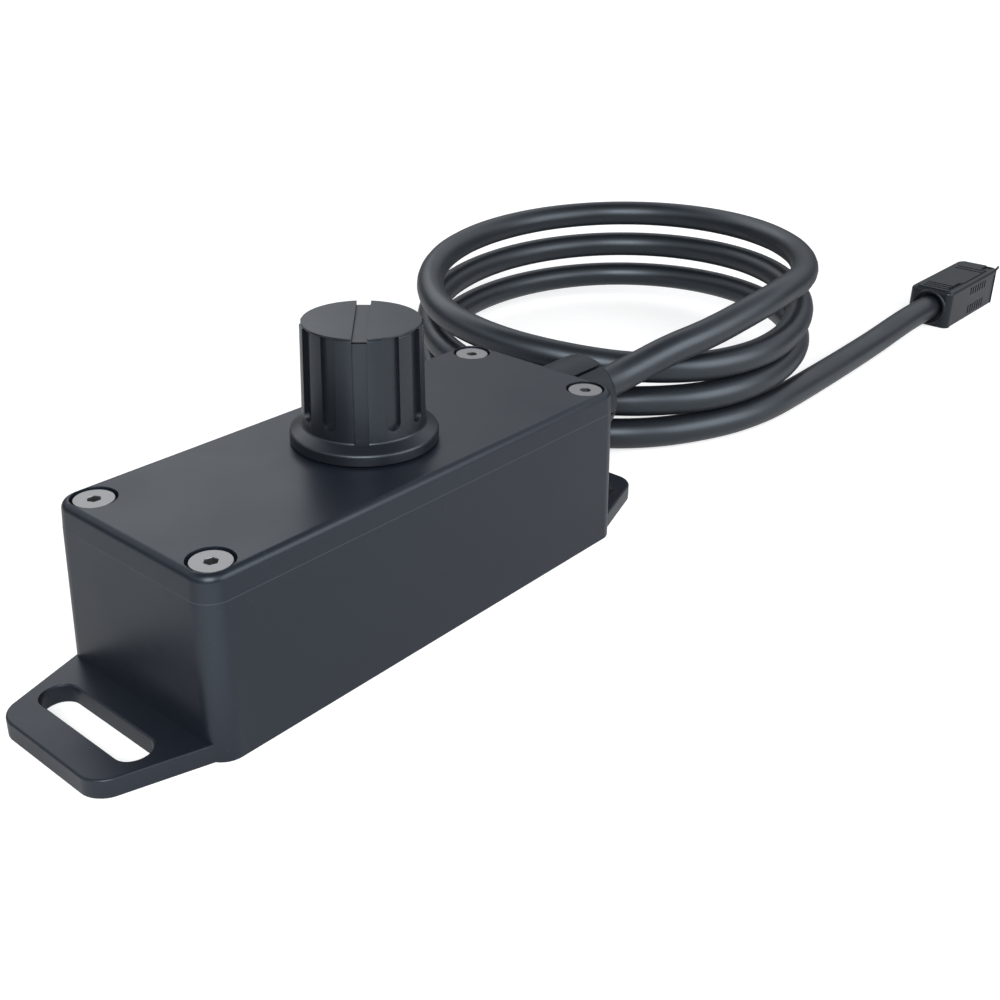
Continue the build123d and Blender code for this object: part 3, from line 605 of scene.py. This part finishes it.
COLLAR_DROP = 8.2  # From the seam down to the collar's axis
PAD_RADIUS, PAD_DEPTH = 11.6, 0.9
COLLAR_HOLE_RADIUS = 6.1
POST_RADIUS, DRILL_RADIUS, DRILL_END = 4.2, 2.02, 20.6
STANDOFF_X, STANDOFF_Y = 44, 15
SCREW_INSET_X, SCREW_INSET_Y = 6.1, 6.0
RECESS_RADIUS = 4.6
SINK_LOW_RADIUS, SINK_HIGH_RADIUS, SINK_DEPTH = 2.2, 4.1, 1.84
SINK_BELOW_TOP = 1.07
POCKET_INSET, TONGUE_INSET = 4.05, 2.65


def half_sizes():
    """Half the case's length and width, its seam and its top."""
    s = sizes()
    return s.case_length / MM / 2, s.case_width / MM / 2, s.seam_height / MM, s.case_height / MM


def screw_spots():
    length, width, _, _ = half_sizes()
    return [(sx * (length - SCREW_INSET_X), sy * (width - SCREW_INSET_Y)) for sx in (-1, 1) for sy in (-1, 1)]


def cut_at_screws(piece, name, radius, low, high, sides):
    """Cut a rod out of the piece at each screw."""
    for spot in screw_spots():
        cut(piece, rod(name, radius, low, high, spot, sides=sides))


def inset_box(name, inset, low, high, radius, segments=6):
    """A block with rounded upright edges, this far inside the case's outline."""
    length, width, _, _ = half_sizes()
    x, y = length - inset, width - inset
    return rounded_box(name, (-x, -y, low), (x, y, high), radius, segments)


class AddCaseBase(bpy.types.Operator):
    """Add the base of the case with its mounting feet, screw posts and collar pad"""

    bl_idname = "dimmer.add_case_base"
    bl_label = "Case base"

    def execute(self, context):
        length, width, seam, _ = half_sizes()
        base = inset_box("case_base", 0, 0, seam, sizes().corner_radius / MM, CORNER_STEPS)
        pick(base, "FACE", lambda middle, normal: normal.z < -ALONG)
        resize_picked(((length + FLARE) / length, (width + FLARE) / width, 1))
        # Feet: blocks drawn in towards their tips, with round tip corners and a rounded upper rim
        root, tip = length - WALL, length + FOOT_REACH
        for side in (-1, 1):
            foot = box("foot", (side * root, -FOOT_ROOT_HALF, 0), (side * tip, FOOT_ROOT_HALF, FOOT_HEIGHT))
            pick(foot, "FACE", lambda middle, normal: normal.x * side > ALONG)
            resize_picked((1, FOOT_TIP_HALF / FOOT_ROOT_HALF, 1))
            round_edges(
                foot, FOOT_TIP_RADIUS, CORNER_STEPS,
                lambda middle, way: abs(way.z) > ALONG and middle.x * side > tip - 1,
            )
            round_edges(
                foot, FOOT_RIM, 4,
                lambda middle, way: middle.z > FOOT_HEIGHT - TOUCH and middle.x * side > length - 1,
            )
            unite(base, foot)
        # Slots: straight through the feet, with a chamfered rim
        for side in (-1, 1):
            middle_x = side * (length + SLOT_PLACE)
            slot, rim = (
                rounded_box(
                    name,
                    (middle_x - SLOT_HALF_X, -SLOT_HALF_Y, low),
                    (middle_x + SLOT_HALF_X, SLOT_HALF_Y, high),
                    SLOT_RADIUS,
                    CORNER_STEPS,
                )
                for name, low, high in (("slot", -1, 6), ("rim", RIM_LOW, RIM_HIGH))
            )
            pick(rim, "FACE", lambda middle, normal: normal.z > ALONG)
            resize_picked(
                (RIM_HALF_X / SLOT_HALF_X, RIM_HALF_Y / SLOT_HALF_Y, 1), (middle_x, 0, RIM_HIGH)
            )
            cut(base, slot, rim)
        clean(base)
        collar_place = (0, seam - COLLAR_DROP)
        unite(base, rod("pad", PAD_RADIUS, length - 1, length + PAD_DEPTH, collar_place, "X", 96))
        # Inside: cavity with its screw posts, seal step, screw holes and the collar's hole
        cavity = inset_box("cavity", WALL, BOTTOM, seam + 1, INNER_RADIUS)
        cut_at_screws(cavity, "post", POST_RADIUS, BOTTOM - 1, seam + 2, 48)
        cut(base, cavity)
        step = inset_box("step", 1.1, seam - 1.5, seam + 1, 3.9, 8)
        cut(step, inset_box("core", WALL, seam - 2, seam + 2, INNER_RADIUS))
        cut(base, step)
        cut_at_screws(base, "drill", DRILL_RADIUS, DRILL_END, seam + 1, 32)
        cut(base, rod("collar_hole", COLLAR_HOLE_RADIUS, length - 6, length + 3, collar_place, "X"))
        for x in (-STANDOFF_X, STANDOFF_X):
            for y in (-STANDOFF_Y, STANDOFF_Y):
                standoff = rod("standoff", 3.0, BOTTOM - 0.2, 8.0, (x, y), sides=32)
                cut(standoff, rod("hole", 1.5, BOTTOM, 9.0, (x, y), sides=24))
                unite(base, standoff)
        shade(base, 35)
        dress(base, "case", "case_plastic", "case_plastic", "base_housing")
        return {"FINISHED"}


class AddLid(bpy.types.Operator):
    """Add the lid with its rounded edge, countersunk holes, pocket and tongue"""

    bl_idname = "dimmer.add_lid"
    bl_label = "Lid"

    def execute(self, context):
        length, width, seam, top = half_sizes()
        lid = inset_box("case_lid", 0.02, seam, top, sizes().corner_radius / MM, CORNER_STEPS)
        pick(lid, "FACE", lambda middle, normal: normal.z > ALONG)
        draft = (top - seam) * tan(radians(2.5))
        resize_picked(((length - draft) / length, (width - draft) / width, 1), (0, 0, top))
        round_edges(lid, sizes().lid_round / MM, 7, lambda middle, way: middle.z > top - TOUCH)
        # Screw recesses with softened rims, the control's hole and the countersinks
        cut_at_screws(lid, "recess", RECESS_RADIUS, top - 1.5, top + 1, 64)
        cut(lid, rod("control_hole", 5.1, seam - 1, top + 1))
        clean(lid)
        round_edges(
            lid, 0.18, 2,
            lambda middle, way: middle.z > top - 0.02
            and any(abs((middle.xy - Vector(spot)).length - RECESS_RADIUS) < 0.03 for spot in screw_spots()),
        )
        for x, y in screw_spots():
            begin()
            bpy.ops.mesh.primitive_cone_add(
                vertices=48,
                radius1=SINK_LOW_RADIUS * MM,
                radius2=SINK_HIGH_RADIUS * MM,
                depth=SINK_DEPTH * MM,
                location=(x * MM, y * MM, (top - SINK_BELOW_TOP - SINK_DEPTH / 2) * MM),
            )
            countersink = settle(bpy.context.object)
            cut(lid, countersink, rod("drill", SINK_LOW_RADIUS, seam - 1, top, (x, y), sides=48))
        # Underside: pocket, and a tongue that sits inside the base, open at the collar
        pocket = inset_box("pocket", POCKET_INSET, seam - 1, top - 3, 1.2, 4)
        cut_at_screws(pocket, "pad", 6.0, seam - 2, top, 48)
        cut(lid, pocket)
        tongue = inset_box("tongue", TONGUE_INSET, seam - 2, seam + 0.2, 2.35)
        cut(tongue, inset_box("inner", POCKET_INSET, seam - 3, seam + 1, 1.2, 4))
        cut_at_screws(tongue, "gap", 4.6, seam - 3, seam, 48)
        cut(tongue, box("gap", (length - 8, -10.5, seam - 3), (length + 1, 10.5, seam)))
        unite(lid, tongue)
        shade(lid, 30)
        dress(lid, "case", "case_plastic", "case_plastic", "lid")
        return {"FINISHED"}


class AddLidScrews(bpy.types.Operator):
    """Add the four countersunk socket screws of the lid"""

    bl_idname = "dimmer.add_lid_screws"
    bl_label = "Lid screws"

    def execute(self, context):
        _, _, _, top = half_sizes()
        head = top - 0.35
        profile = [
            (3.88, head), (3.97, head - 0.03), (4.0, head - 0.1), (4.0, head - 0.2),
            (2.0, head - 2.2), (2.0, head - 15.4), (1.4, head - 16),
        ]
        screw = lathe("screw", profile, 96)
        cut(screw, rod("socket", 1.4434, head - 1.7, head + 1, sides=6, turn=radians(12)))
        clean(screw)
        round_edges(
            screw, 0.12, 2, lambda middle, way: middle.z > head - TOUCH and middle.xy.length < 1.6
        )
        shade(screw, 30)
        screws = []
        for k, (x, y) in enumerate(screw_spots()):
            twin = copy_of(screw, f"screw_{k}")
            twin.rotation_euler = (0, 0, radians(17 * k))
            twin.location = (x * MM, y * MM, 0)
            screws.append(settle(twin))
        bpy.data.objects.remove(screw)
        screws = join(screws, "lid_socket_screws")
        dress(screws, "case", "screw_steel", "screw_metal", "lid_screws")
        return {"FINISHED"}


# Knob

KNOB_GAP = 0.35  # Between the lid and the knob
KNOB_HEIGHT = 26.35
KNOB_TOP_THICKNESS = 3.2
POINTER_ANGLE = 223.5
FLUTE_FLOOR, FLUTE_LEAN, FLUTE_HALF, FLUTE_END = 11.8, 0.3, 1.65, 6.05
POINTER_HALF, POINTER_FLOOR, POINTER_END = 1.55, 12.05, 3.7


class AddKnob(bpy.types.Operator):
    """Add the fluted knob with its skirt and pointer groove"""

    bl_idname = "dimmer.add_knob"
    bl_label = "Knob"

    def execute(self, context):
        _, _, _, top = half_sizes()
        low = top + KNOB_GAP
        high = low + KNOB_HEIGHT
        ceiling = high - KNOB_TOP_THICKNESS
        profile = [
            (12.38, high), (12.47, high - 0.04), (12.5, high - 0.12), (12.5, high - 0.45),
            (12.68, high - 0.45), (12.80, high - 0.49), (12.86, high - 0.62), (13.27, low + 4.15),
            (13.30, low + 3.98), (13.38, low + 3.82), (13.50, low + 3.70), (13.66, low + 3.60),
            (15.52, low + 2.57), (15.72, low + 2.44), (15.87, low + 2.28), (15.97, low + 2.09),
            (16.0, low + 1.88), (16.0, low + 0.15), (15.85, low), (14.4, low),
            (14.4, low + 0.9), (11.4, low + 0.9), (10.95, ceiling),
        ]
        knob = lathe("knob_shell", profile, 216)
        # Flutes round the body: flat-floored slots with round lower ends, open at the top
        count = sizes().flute_count
        pointer = radians(POINTER_ANGLE)
        for k in range(1, count):
            flute = box(
                "flute", (FLUTE_FLOOR, -FLUTE_HALF, low + FLUTE_END), (15.0, FLUTE_HALF, high - 0.44)
            )
            pick(flute, "EDGE", lambda middle, way: middle.x < FLUTE_FLOOR + 0.1 and middle.z < low + 7)
            shift_picked(FLUTE_LEAN, 0, 0)
            round_edges(
                flute, FLUTE_HALF - 0.001, 8,
                lambda middle, way: abs(way.x) > ALONG and middle.z < low + 7,
            )
            turn_about_z(flute, pointer + k * 2 * pi / count)
            cut(knob, flute)
        # Pointer groove across the top and down the front
        for name, start, bottom in (
            ("groove", -16.5, high - 0.8),
            ("front", POINTER_FLOOR, low + POINTER_END),
        ):
            end = 16.5 if name == "groove" else 16.0
            groove = box(name, (start, -POINTER_HALF, bottom), (end, POINTER_HALF, high + 1))
            turn_about_z(groove, pointer)
            cut(knob, groove)
        clean(knob)
        soften(knob, 0.10, 30)
        # Hub and ribs inside
        hub = rod("hub", 6.6, low + 7.05, ceiling + 0.5)
        for k in range(6):
            rib = box("rib", (6.0, -0.6, low + 11.65), (11.3, 0.6, ceiling + 0.5))
            turn_about_z(rib, pointer + k * pi / 3)
            unite(hub, rib)
        unite(knob, hub)
        cut(knob, rod("socket", 5.0, low + 6, low + 21.05))
        shade(knob, 28)
        dress(knob, "knob", "knob_plastic", "knob_plastic", "knob_body")
        return {"FINISHED"}


# Collar, cable and plug

COLLAR_LENGTH = 17.6
COLLAR_GAP = 0.8  # Between the pad and the collar, where the washer sits
SLIT_COUNT, SLIT_ANGLE = 5, 119


class AddCollar(bpy.types.Operator):
    """Add the slit collar that holds the cable"""

    bl_idname = "dimmer.add_collar"
    bl_label = "Cable collar"

    def execute(self, context):
        length, _, seam, _ = half_sizes()
        start = length + PAD_DEPTH + COLLAR_GAP
        end = start + COLLAR_LENGTH
        axis_height = seam - COLLAR_DROP
        profile = [
            (4.6, length - 7.3), (5.45, length - 7.3), (5.95, length - 6.8), (5.95, start), (10.5, start),
            (10.78, start + 0.1), (10.9, start + 0.4), (10.9, end - 1.5), (10.84, end - 1.1),
            (10.68, end - 0.7), (10.42, end - 0.35), (10.1, end - 0.12), (9.7, end), (7.3, end),
            (7.0, end - 0.1), (6.8, end - 0.4), (6.8, length + 4.5), (4.6, length + 4.5), (4.6, length - 7.3),
        ]
        collar = lathe("cable_collar", profile, hollow=True)
        turn_and_lift(collar, (0, pi / 2, 0), axis_height)
        for k in range(SLIT_COUNT):
            slit = box("slit", (start + 2.1, 6.0, -0.4), (end + 1, 12.0, 0.4))
            turn_and_lift(slit, (radians(SLIT_ANGLE + 360 / SLIT_COUNT * k), 0, 0), axis_height)
            cut(collar, slit)
        clean(collar)
        soften(collar, 0.12)
        shade(collar, 32)
        dress(collar, "case", "gland_plastic", "gland_plastic", "gland_collar")
        return {"FINISHED"}


LEAD_POINTS = [
    (79.2, 0.0, 25.3),
    (90.0, 0.0, 25.3),
    (102.0, -2.0, 27.3),
    (113.0, -5.2, 30.3),
    (127.0, -8.4, 31.9),
    (144.0, -10.6, 34.4),
    (162.0, -11.6, 36.5),
]
TAIL_POINTS = [
    (150.0, -16.9, 4.36),
    (172.0, -17.0, 4.36),
    (200.0, -16.4, 4.36),
    (228.0, -15.6, 4.6),
    (246.0, -15.6, 5.9),
    (260.0, -15.8, 6.8),
    (276.4, -15.8, 6.8),
]
# Height of the coil's line at half turns from its right-hand end, where it leans on the turns below
COIL_HEIGHTS = [
    (0, 36.9), (1.0, 30.9), (1.25, 28.2), (1.375, 26.8), (1.5, 24.7), (1.625, 22.4), (1.75, 21.6),
    (1.875, 22.0), (2.0, 23.6), (2.25, 23.6), (2.5, 22.0), (3.0, 18.9), (3.25, 17.2), (3.375, 15.4),
    (3.5, 13.7), (3.625, 13.1), (3.75, 13.0), (3.875, 13.2), (4.0, 13.6), (4.5, 10.2), (5.0, 7.2), (5.25, 5.4),
    (5.375, 4.7), (5.5, 4.36), (6, 4.36),
]
# How far inside the oval the line runs there
COIL_INSETS = [
    (0, 0), (1.25, 0), (1.375, 2.5), (1.5, 5.5), (1.625, 5.5), (1.75, 2.0), (1.875, 0), (3.25, 0),
    (3.375, 1.5), (3.5, 3.0), (3.625, 3.0), (3.75, 0.5), (3.875, 0), (6, 0),
]
COIL_MIDDLE_X, COIL_MIDDLE_Y = 161.2, 47.4
COIL_ACROSS, COIL_ALONG = 59.9, 71.7
COIL_TURN_COS, COIL_TURN_SIN = 0.396, 0.918  # Of the oval's turn in plan
COIL_STEPS = 8  # Points to half a turn
COIL_POINTS = 47
COIL_OUTWARD = 1.0195  # The points stand this far out, since the line runs inside them


def between(value, stations):
    """Straight-line reading of (place, value) stations."""
    for (a, low), (b, high) in zip(stations, stations[1:]):
        if a <= value <= b:
            return low + (high - low) * (value - a) / (b - a)
    return stations[-1][1]


def coil_points():
    """Points round a leaning stack of ovals."""
    points = []
    for k in range(COIL_POINTS):
        half_turns = k / COIL_STEPS
        inset = between(half_turns, COIL_INSETS)
        across = COIL_OUTWARD * (COIL_ACROSS - inset) * cos(half_turns * pi)
        along = COIL_OUTWARD * (COIL_ALONG - inset) * sin(half_turns * pi)
        x = COIL_MIDDLE_X + COIL_TURN_COS * across + COIL_TURN_SIN * along
        y = COIL_MIDDLE_Y - COIL_TURN_SIN * across + COIL_TURN_COS * along
        points.append((x, y, between(half_turns, COIL_HEIGHTS)))
    return points


class AddCable(bpy.types.Operator):
    """Add the cable as one smooth line with its coil"""

    bl_idname = "dimmer.add_cable"
    bl_label = "Cable"

    def execute(self, context):
        begin()
        line = bpy.data.curves.new("cable", "CURVE")
        line.dimensions = "3D"
        line.resolution_u = 8
        line.bevel_depth = sizes().cable_diameter / 2
        line.bevel_resolution = 8
        line.use_fill_caps = True
        route = line.splines.new("NURBS")
        points = LEAD_POINTS + coil_points() + TAIL_POINTS
        route.points.add(len(points) - 1)
        for point, place in zip(route.points, points):
            point.co = (*[v * MM for v in place], 1)
        route.order_u = 3
        route.use_endpoint_u = True
        cable = bpy.data.objects.new("cable", line)
        bpy.context.scene.collection.objects.link(cable)
        dress(cable, "case", "cable_sheath", "cable_rubber", "cable_lead", "cable_coil", "cable_tail")
        return {"FINISHED"}


PLUG_REAR, PLUG_FRONT = 274.0, 320.0
PLUG_MIDDLE_Y, PLUG_HALF = -15.8, 8.0
PLUG_HEIGHT = 13.6
PLUG_AXIS = 6.8  # Height of the cable's entry
WINDOW_PITCH, WINDOW_HALF = 4.6, 1.6
RIB_COUNT, RIB_PITCH, RIB_HALF, RIB_HEIGHTS = 7, 2.3, 0.5, (10.0, 2.8)
COVER_GROOVES = (3.2, 5.6, 8.0, 33.5, 36.3)  # From the plug's rear


class AddPlug(bpy.types.Operator):
    """Add the flat plug at the end of the cable"""

    bl_idname = "dimmer.add_plug"
    bl_label = "Plug"

    def execute(self, context):
        rear, front, centre, high = PLUG_REAR, PLUG_FRONT, PLUG_MIDDLE_Y, PLUG_HEIGHT
        shell = box("plug_shell", (rear, centre - PLUG_HALF, 0), (front, centre + PLUG_HALF, high))
        round_edges(shell, 2.3, 8, lambda middle, way: abs(way.z) > ALONG)
        round_edges(shell, 1.3, 6, lambda middle, way: middle.z > high - TOUCH)
        cut(shell, rod("entry", 5.2, rear - 1, rear + 12, (centre, PLUG_AXIS), "X"))
        # A raised bead round the cable's entry
        begin()
        bpy.ops.mesh.primitive_torus_add(
            major_segments=64,
            minor_segments=16,
            major_radius=5.95 * MM,
            minor_radius=0.6 * MM,
            location=((rear + 0.05) * MM, centre * MM, PLUG_AXIS * MM),
            rotation=(0, pi / 2, 0),
        )
        unite(shell, settle(bpy.context.object))
        # Contact windows in the front, and a step round the cover
        for k in (-1, 0, 1):
            y = centre + WINDOW_PITCH * k
            low_corner = (front - 18, y - WINDOW_HALF, PLUG_AXIS - WINDOW_HALF)
            cut(shell, box("window", low_corner, (front + 1, y + WINDOW_HALF, PLUG_AXIS + WINDOW_HALF)))
        step_corner = (rear + 1.2, centre - 6.2, high - 0.9)
        cut(shell, rounded_box("cover_step", step_corner, (front - 1.2, centre + 6.2, high + 1), 1.6, 5))
        # Side panels sunk a little between the rounded corner beads, with two rows of ribs
        start = front - 12 - RIB_PITCH * (RIB_COUNT - 1)
        for side in (-1, 1):
            face = centre + side * PLUG_HALF
            panel = box("panel", (rear + 3.3, face - side * 0.3, -1), (front - 2.2, face + side, high - 2.0))
            round_edges(panel, 0.8, 4, lambda middle, way: abs(way.y) > ALONG and middle.z > 1)
            cut(shell, panel)
            for k in range(RIB_COUNT):
                x = start + RIB_PITCH * k
                for z in RIB_HEIGHTS:
                    low_corner = (x - RIB_HALF, face - side * 0.75, z - 1.6)
                    cut(shell, box("rib", low_corner, (x + RIB_HALF, face + side, z + 1.6)))
        clean(shell)
        soften(shell, 0.12)
        shade(shell, 32)
        dress(shell, "case", "plug_plastic", "plug_plastic", "plug_housing")
        # Cover with cross grooves, a thumb notch and a small hook at its front corner
        cover_corner = (rear + 1.25, centre - 6.15, high - 0.9)
        cover = rounded_box("plug_lid", cover_corner, (front - 1.25, centre + 6.15, high + 0.35), 1.55, 5)
        for x in COVER_GROOVES:
            low_corner = (rear + x - 0.5, centre - 7, high - 0.1)
            cut(cover, box("groove", low_corner, (rear + x + 0.5, centre + 4.6, high + 1)))
        low_corner = (rear + 3.2, centre - 8, high - 0.5)
        cut(cover, rounded_box("notch", low_corner, (rear + 15.5, centre - 4.7, high + 1), 1.4, 5))
        low_corner = (front - 8.0, centre - 8, high - 0.5)
        cut(cover, box("front_notch", low_corner, (front - 0.5, centre - 3.6, high + 1)))
        soften(cover, 0.12)
        hook = box(
            "hook",
            (front - 1.0, centre - PLUG_HALF + 0.25, high - 1.0),
            (front + 1.1, centre - PLUG_HALF + 0.95, high - 0.1),
        )
        pick(hook, "FACE", lambda middle, normal: normal.x > ALONG)
        shift_picked(0, 0, 0.55)
        soften(hook, 0.15)
        join([cover, hook], "plug_lid")
        shade(cover, 32)
        dress(cover, "case", "plug_plastic", "plug_plastic", "plug_cover")
        return {"FINISHED"}


class FinishInnerParts(bpy.types.Operator):
    """Give every part inside the case its own finish"""

    bl_idname = "dimmer.finish_inner_parts"
    bl_label = "Inner parts"

    def execute(self, context):
        slots = {entry["node"]: entry["material_slot"] for entry in frame["record"]["subparts"]}
        for name, node in frame["nodes"].items():
            if node.hide_render:
                continue
            node.data.materials.clear()
            node.data.materials.append(finish(slots[name]))
        return {"FINISHED"}


# Stage: floor, lamps, world and camera. Sizes here are in metres.

# The floor's colour is painted darker between these distances: painted shade for the lamps' light falling off.
FADE_START, FADE_END = 0.25, 1.1  # Where the lamps' light falls off over the floor
FLOOR_GLOW_NEAR, FLOOR_GLOW_GAIN = 0.62, 0.75
FLOOR_MIRROR_GLOW = 0.15
# A glowing patch of floor seen only in reflections: painted highlight on the case's upright corner and the
# knob's side.
PATCH_PLACE = (-0.128, -0.080, 0)
PATCH_START, PATCH_END, PATCH_GLOW = 0.04, 0.10, 0.8
# Place and brightness round the sky, from straight down (0) over the horizon (0.5) to overhead (1)
SKY_STOPS = [(0.0, 0.08), (0.25, 0.14), (0.36, 0.45), (0.46, 0.92), (0.58, 1.0), (0.74, 0.42), (0.95, 0.04)]
SKY_STRENGTH = 1.15
# Name, place, target, width, height and power: two broad soft lamps in front and one behind
LAMPS = [
    ("lamp_front", (-0.44, -0.40, 0.47), (0.0, 0.0, 0.03), 0.40, 0.46, 5.0),
    ("lamp_right", (0.26, -0.64, 0.32), (0.0, 0.0, 0.12), 0.60, 0.50, 3.0),
    ("lamp_back", (0.35, 0.79, 0.68), (-0.03, 0.0, 0.02), 0.7, 0.7, 1.4),
]
CAMERA_PLACE = (-0.17037, -0.178997, 0.149285)
CAMERA_RIGHT = (0.64948, -0.76017, 0.01804)
CAMERA_UP = (0.3198, 0.29461, 0.90052)
CAMERA_BACK = (-0.68986, -0.5791, 0.43444)


def area_lamp(name, place, target, wide, high, power):
    """A soft panel lamp that looks at the target."""
    begin()
    bpy.ops.object.light_add(type="AREA", location=place)
    lamp = bpy.context.object
    lamp.name = name
    lamp.data.shape = "RECTANGLE"
    lamp.data.size = wide
    lamp.data.size_y = high
    lamp.data.energy = power
    way = Vector(target) - Vector(place)
    lamp.rotation_euler = way.to_track_quat("-Z", "Y").to_euler()


def floor_paper():
    """Pale paper that looks white to the camera and keeps the object's shadow."""
    material = bpy.data.materials.new("floor_paper")
    material.use_nodes = True
    tree = material.node_tree
    tree.nodes.clear()
    path = add_node(tree, "LightPath").outputs
    place = add_node(tree, "TexCoord").outputs["Object"]
    away = add_node(tree, "VectorMath", {0: place}, operation="LENGTH")
    fade = spread_over(tree, away.outputs["Value"], FADE_START, FADE_END)
    # Pale near the object and dark grey far off: painted shade for the lamps' light falling off over the
    # floor.
    colour = mix_colours(tree, fade, (*colours().floor_colour, 1), (0.12, 0.12, 0.12, 1))
    paper = add_node(tree, "BsdfDiffuse", {"Color": colour})
    # Its glow to the camera grows away from the object, where the paper's colour is painted darker
    shown = calculate(tree, "MULTIPLY_ADD", fade, FLOOR_GLOW_GAIN, FLOOR_GLOW_NEAR)
    to_camera = calculate(tree, "MULTIPLY", path["Is Camera Ray"], shown)
    # Its glow in reflections, with a glowing patch in front of the case that only reflections see: a painted
    # highlight on the case's corner and the knob
    mirrored = calculate(tree, "MAXIMUM", path["Is Glossy Ray"], path["Is Transmission Ray"])
    reflected = calculate(tree, "MULTIPLY_ADD", fade, -FLOOR_MIRROR_GLOW, FLOOR_MIRROR_GLOW)
    from_patch = add_node(tree, "VectorMath", {0: place, 1: PATCH_PLACE}, operation="DISTANCE")
    reach = from_patch.outputs["Value"]
    patch = spread_over(
        tree, reach, PATCH_START, PATCH_END, PATCH_GLOW, 0.0, interpolation_type="SMOOTHSTEP"
    )
    with_patch = calculate(tree, "ADD", reflected, patch)
    strength = calculate(tree, "MULTIPLY_ADD", mirrored, with_patch, to_camera)
    glow = add_node(tree, "Emission", {"Color": (1, 1, 1, 1), "Strength": strength})
    both = add_node(tree, "AddShader", {0: paper.outputs[0], 1: glow.outputs[0]})
    add_node(tree, "OutputMaterial", {"Surface": both.outputs[0]})
    material.cycles.emission_sampling = "NONE"
    return material


def sky_tone(value):
    """A slightly cool grey."""
    return (0.955 * value, 0.985 * value, 1.03 * value, 1)


def soft_world():
    """A world that is light along the horizon and darker overhead, and white to the camera."""
    world = bpy.data.worlds.new("soft_world")
    world.use_nodes = True
    tree = world.node_tree
    tree.nodes.clear()
    place = add_node(tree, "TexCoord")
    parts = add_node(tree, "SeparateXYZ", {0: place.outputs["Object"]})
    tones = add_node(tree, "ValToRGB", {"Fac": parts.outputs["Z"]})
    ramp = tones.color_ramp
    first, *inner, last = SKY_STOPS
    for element, (spot, tone) in zip(ramp.elements, (first, last)):
        element.position, element.color = spot, sky_tone(tone)
    for spot, tone in inner:
        ramp.elements.new(spot).color = sky_tone(tone)
    sky = add_node(tree, "Background", {"Color": tones.outputs["Color"], "Strength": SKY_STRENGTH})
    white = add_node(tree, "Background", {"Color": (1, 1, 1, 1)})
    path = add_node(tree, "LightPath")
    seen = add_node(
        tree, "MixShader", {"Fac": path.outputs["Is Camera Ray"], 1: sky.outputs[0], 2: white.outputs[0]}
    )
    add_node(tree, "OutputWorld", {"Surface": seen.outputs[0]})
    return world


def photo_camera():
    """A camera at the photograph's place."""
    lens = bpy.data.cameras.new("camera")
    lens.sensor_width = 36.0
    lens.sensor_fit = "HORIZONTAL"
    lens.lens = 44.891
    lens.shift_x = 0.0081
    lens.shift_y = -0.0264
    lens.clip_start = 0.01
    lens.clip_end = 50
    camera = bpy.data.objects.new("camera", lens)
    bpy.context.scene.collection.objects.link(camera)
    turn = Matrix((CAMERA_RIGHT, CAMERA_UP, CAMERA_BACK)).transposed().to_4x4()
    camera.matrix_world = Matrix.Translation(CAMERA_PLACE) @ turn
    return camera


class AddStage(bpy.types.Operator):
    """Add the floor, the soft lamps, the world and the camera"""

    bl_idname = "dimmer.add_stage"
    bl_label = "Stage"

    def execute(self, context):
        begin()
        bpy.ops.mesh.primitive_plane_add(size=12, location=(0, 0, -0.0002))
        floor = bpy.context.object
        floor.name = "floor"
        floor.data.materials.append(floor_paper())
        scene = context.scene
        scene.world = soft_world()
        for lamp in LAMPS:
            area_lamp(*lamp)
        scene.camera = photo_camera()
        scene.view_settings.view_transform = "Standard"
        return {"FINISHED"}


class DimmerPanel(bpy.types.Panel):
    """Lists the pieces of the dimmer module"""

    bl_idname = "VIEW3D_PT_dimmer"
    bl_label = "Dimmer module"
    bl_space_type = "VIEW_3D"
    bl_region_type = "UI"
    bl_category = "Dimmer"

    def draw(self, context):
        column = self.layout.column()
        for piece in PIECES:
            column.operator(piece.bl_idname)
        column.prop(context.scene.dimmer_sizes, "cable_diameter")
        column.prop(context.scene.dimmer_colours, "case_colour")
        column.prop(context.scene.dimmer_colours, "cable_colour")


PIECES = [
    AddCaseBase,
    AddLid,
    AddLidScrews,
    AddKnob,
    AddCollar,
    AddPlug,
    AddCable,
    FinishInnerParts,
    AddStage,
]
CLASSES = [DimmerSizes, DimmerColours, *PIECES, DimmerPanel]


def register():
    for entry in CLASSES:
        bpy.utils.register_class(entry)
    bpy.types.Scene.dimmer_sizes = bpy.props.PointerProperty(type=DimmerSizes)
    bpy.types.Scene.dimmer_colours = bpy.props.PointerProperty(type=DimmerColours)


def unregister():
    del bpy.types.Scene.dimmer_colours
    del bpy.types.Scene.dimmer_sizes
    for entry in reversed(CLASSES):
        bpy.utils.unregister_class(entry)


def main():
    register()
    bpy.ops.dimmer.add_case_base()
    bpy.ops.dimmer.add_lid()
    bpy.ops.dimmer.add_lid_screws()
    bpy.ops.dimmer.add_knob()
    bpy.ops.dimmer.add_collar()
    bpy.ops.dimmer.add_plug()
    bpy.ops.dimmer.add_cable()
    bpy.ops.dimmer.finish_inner_parts()
    bpy.ops.dimmer.add_stage()
    begin()


if __name__ == "__main__":
    main()
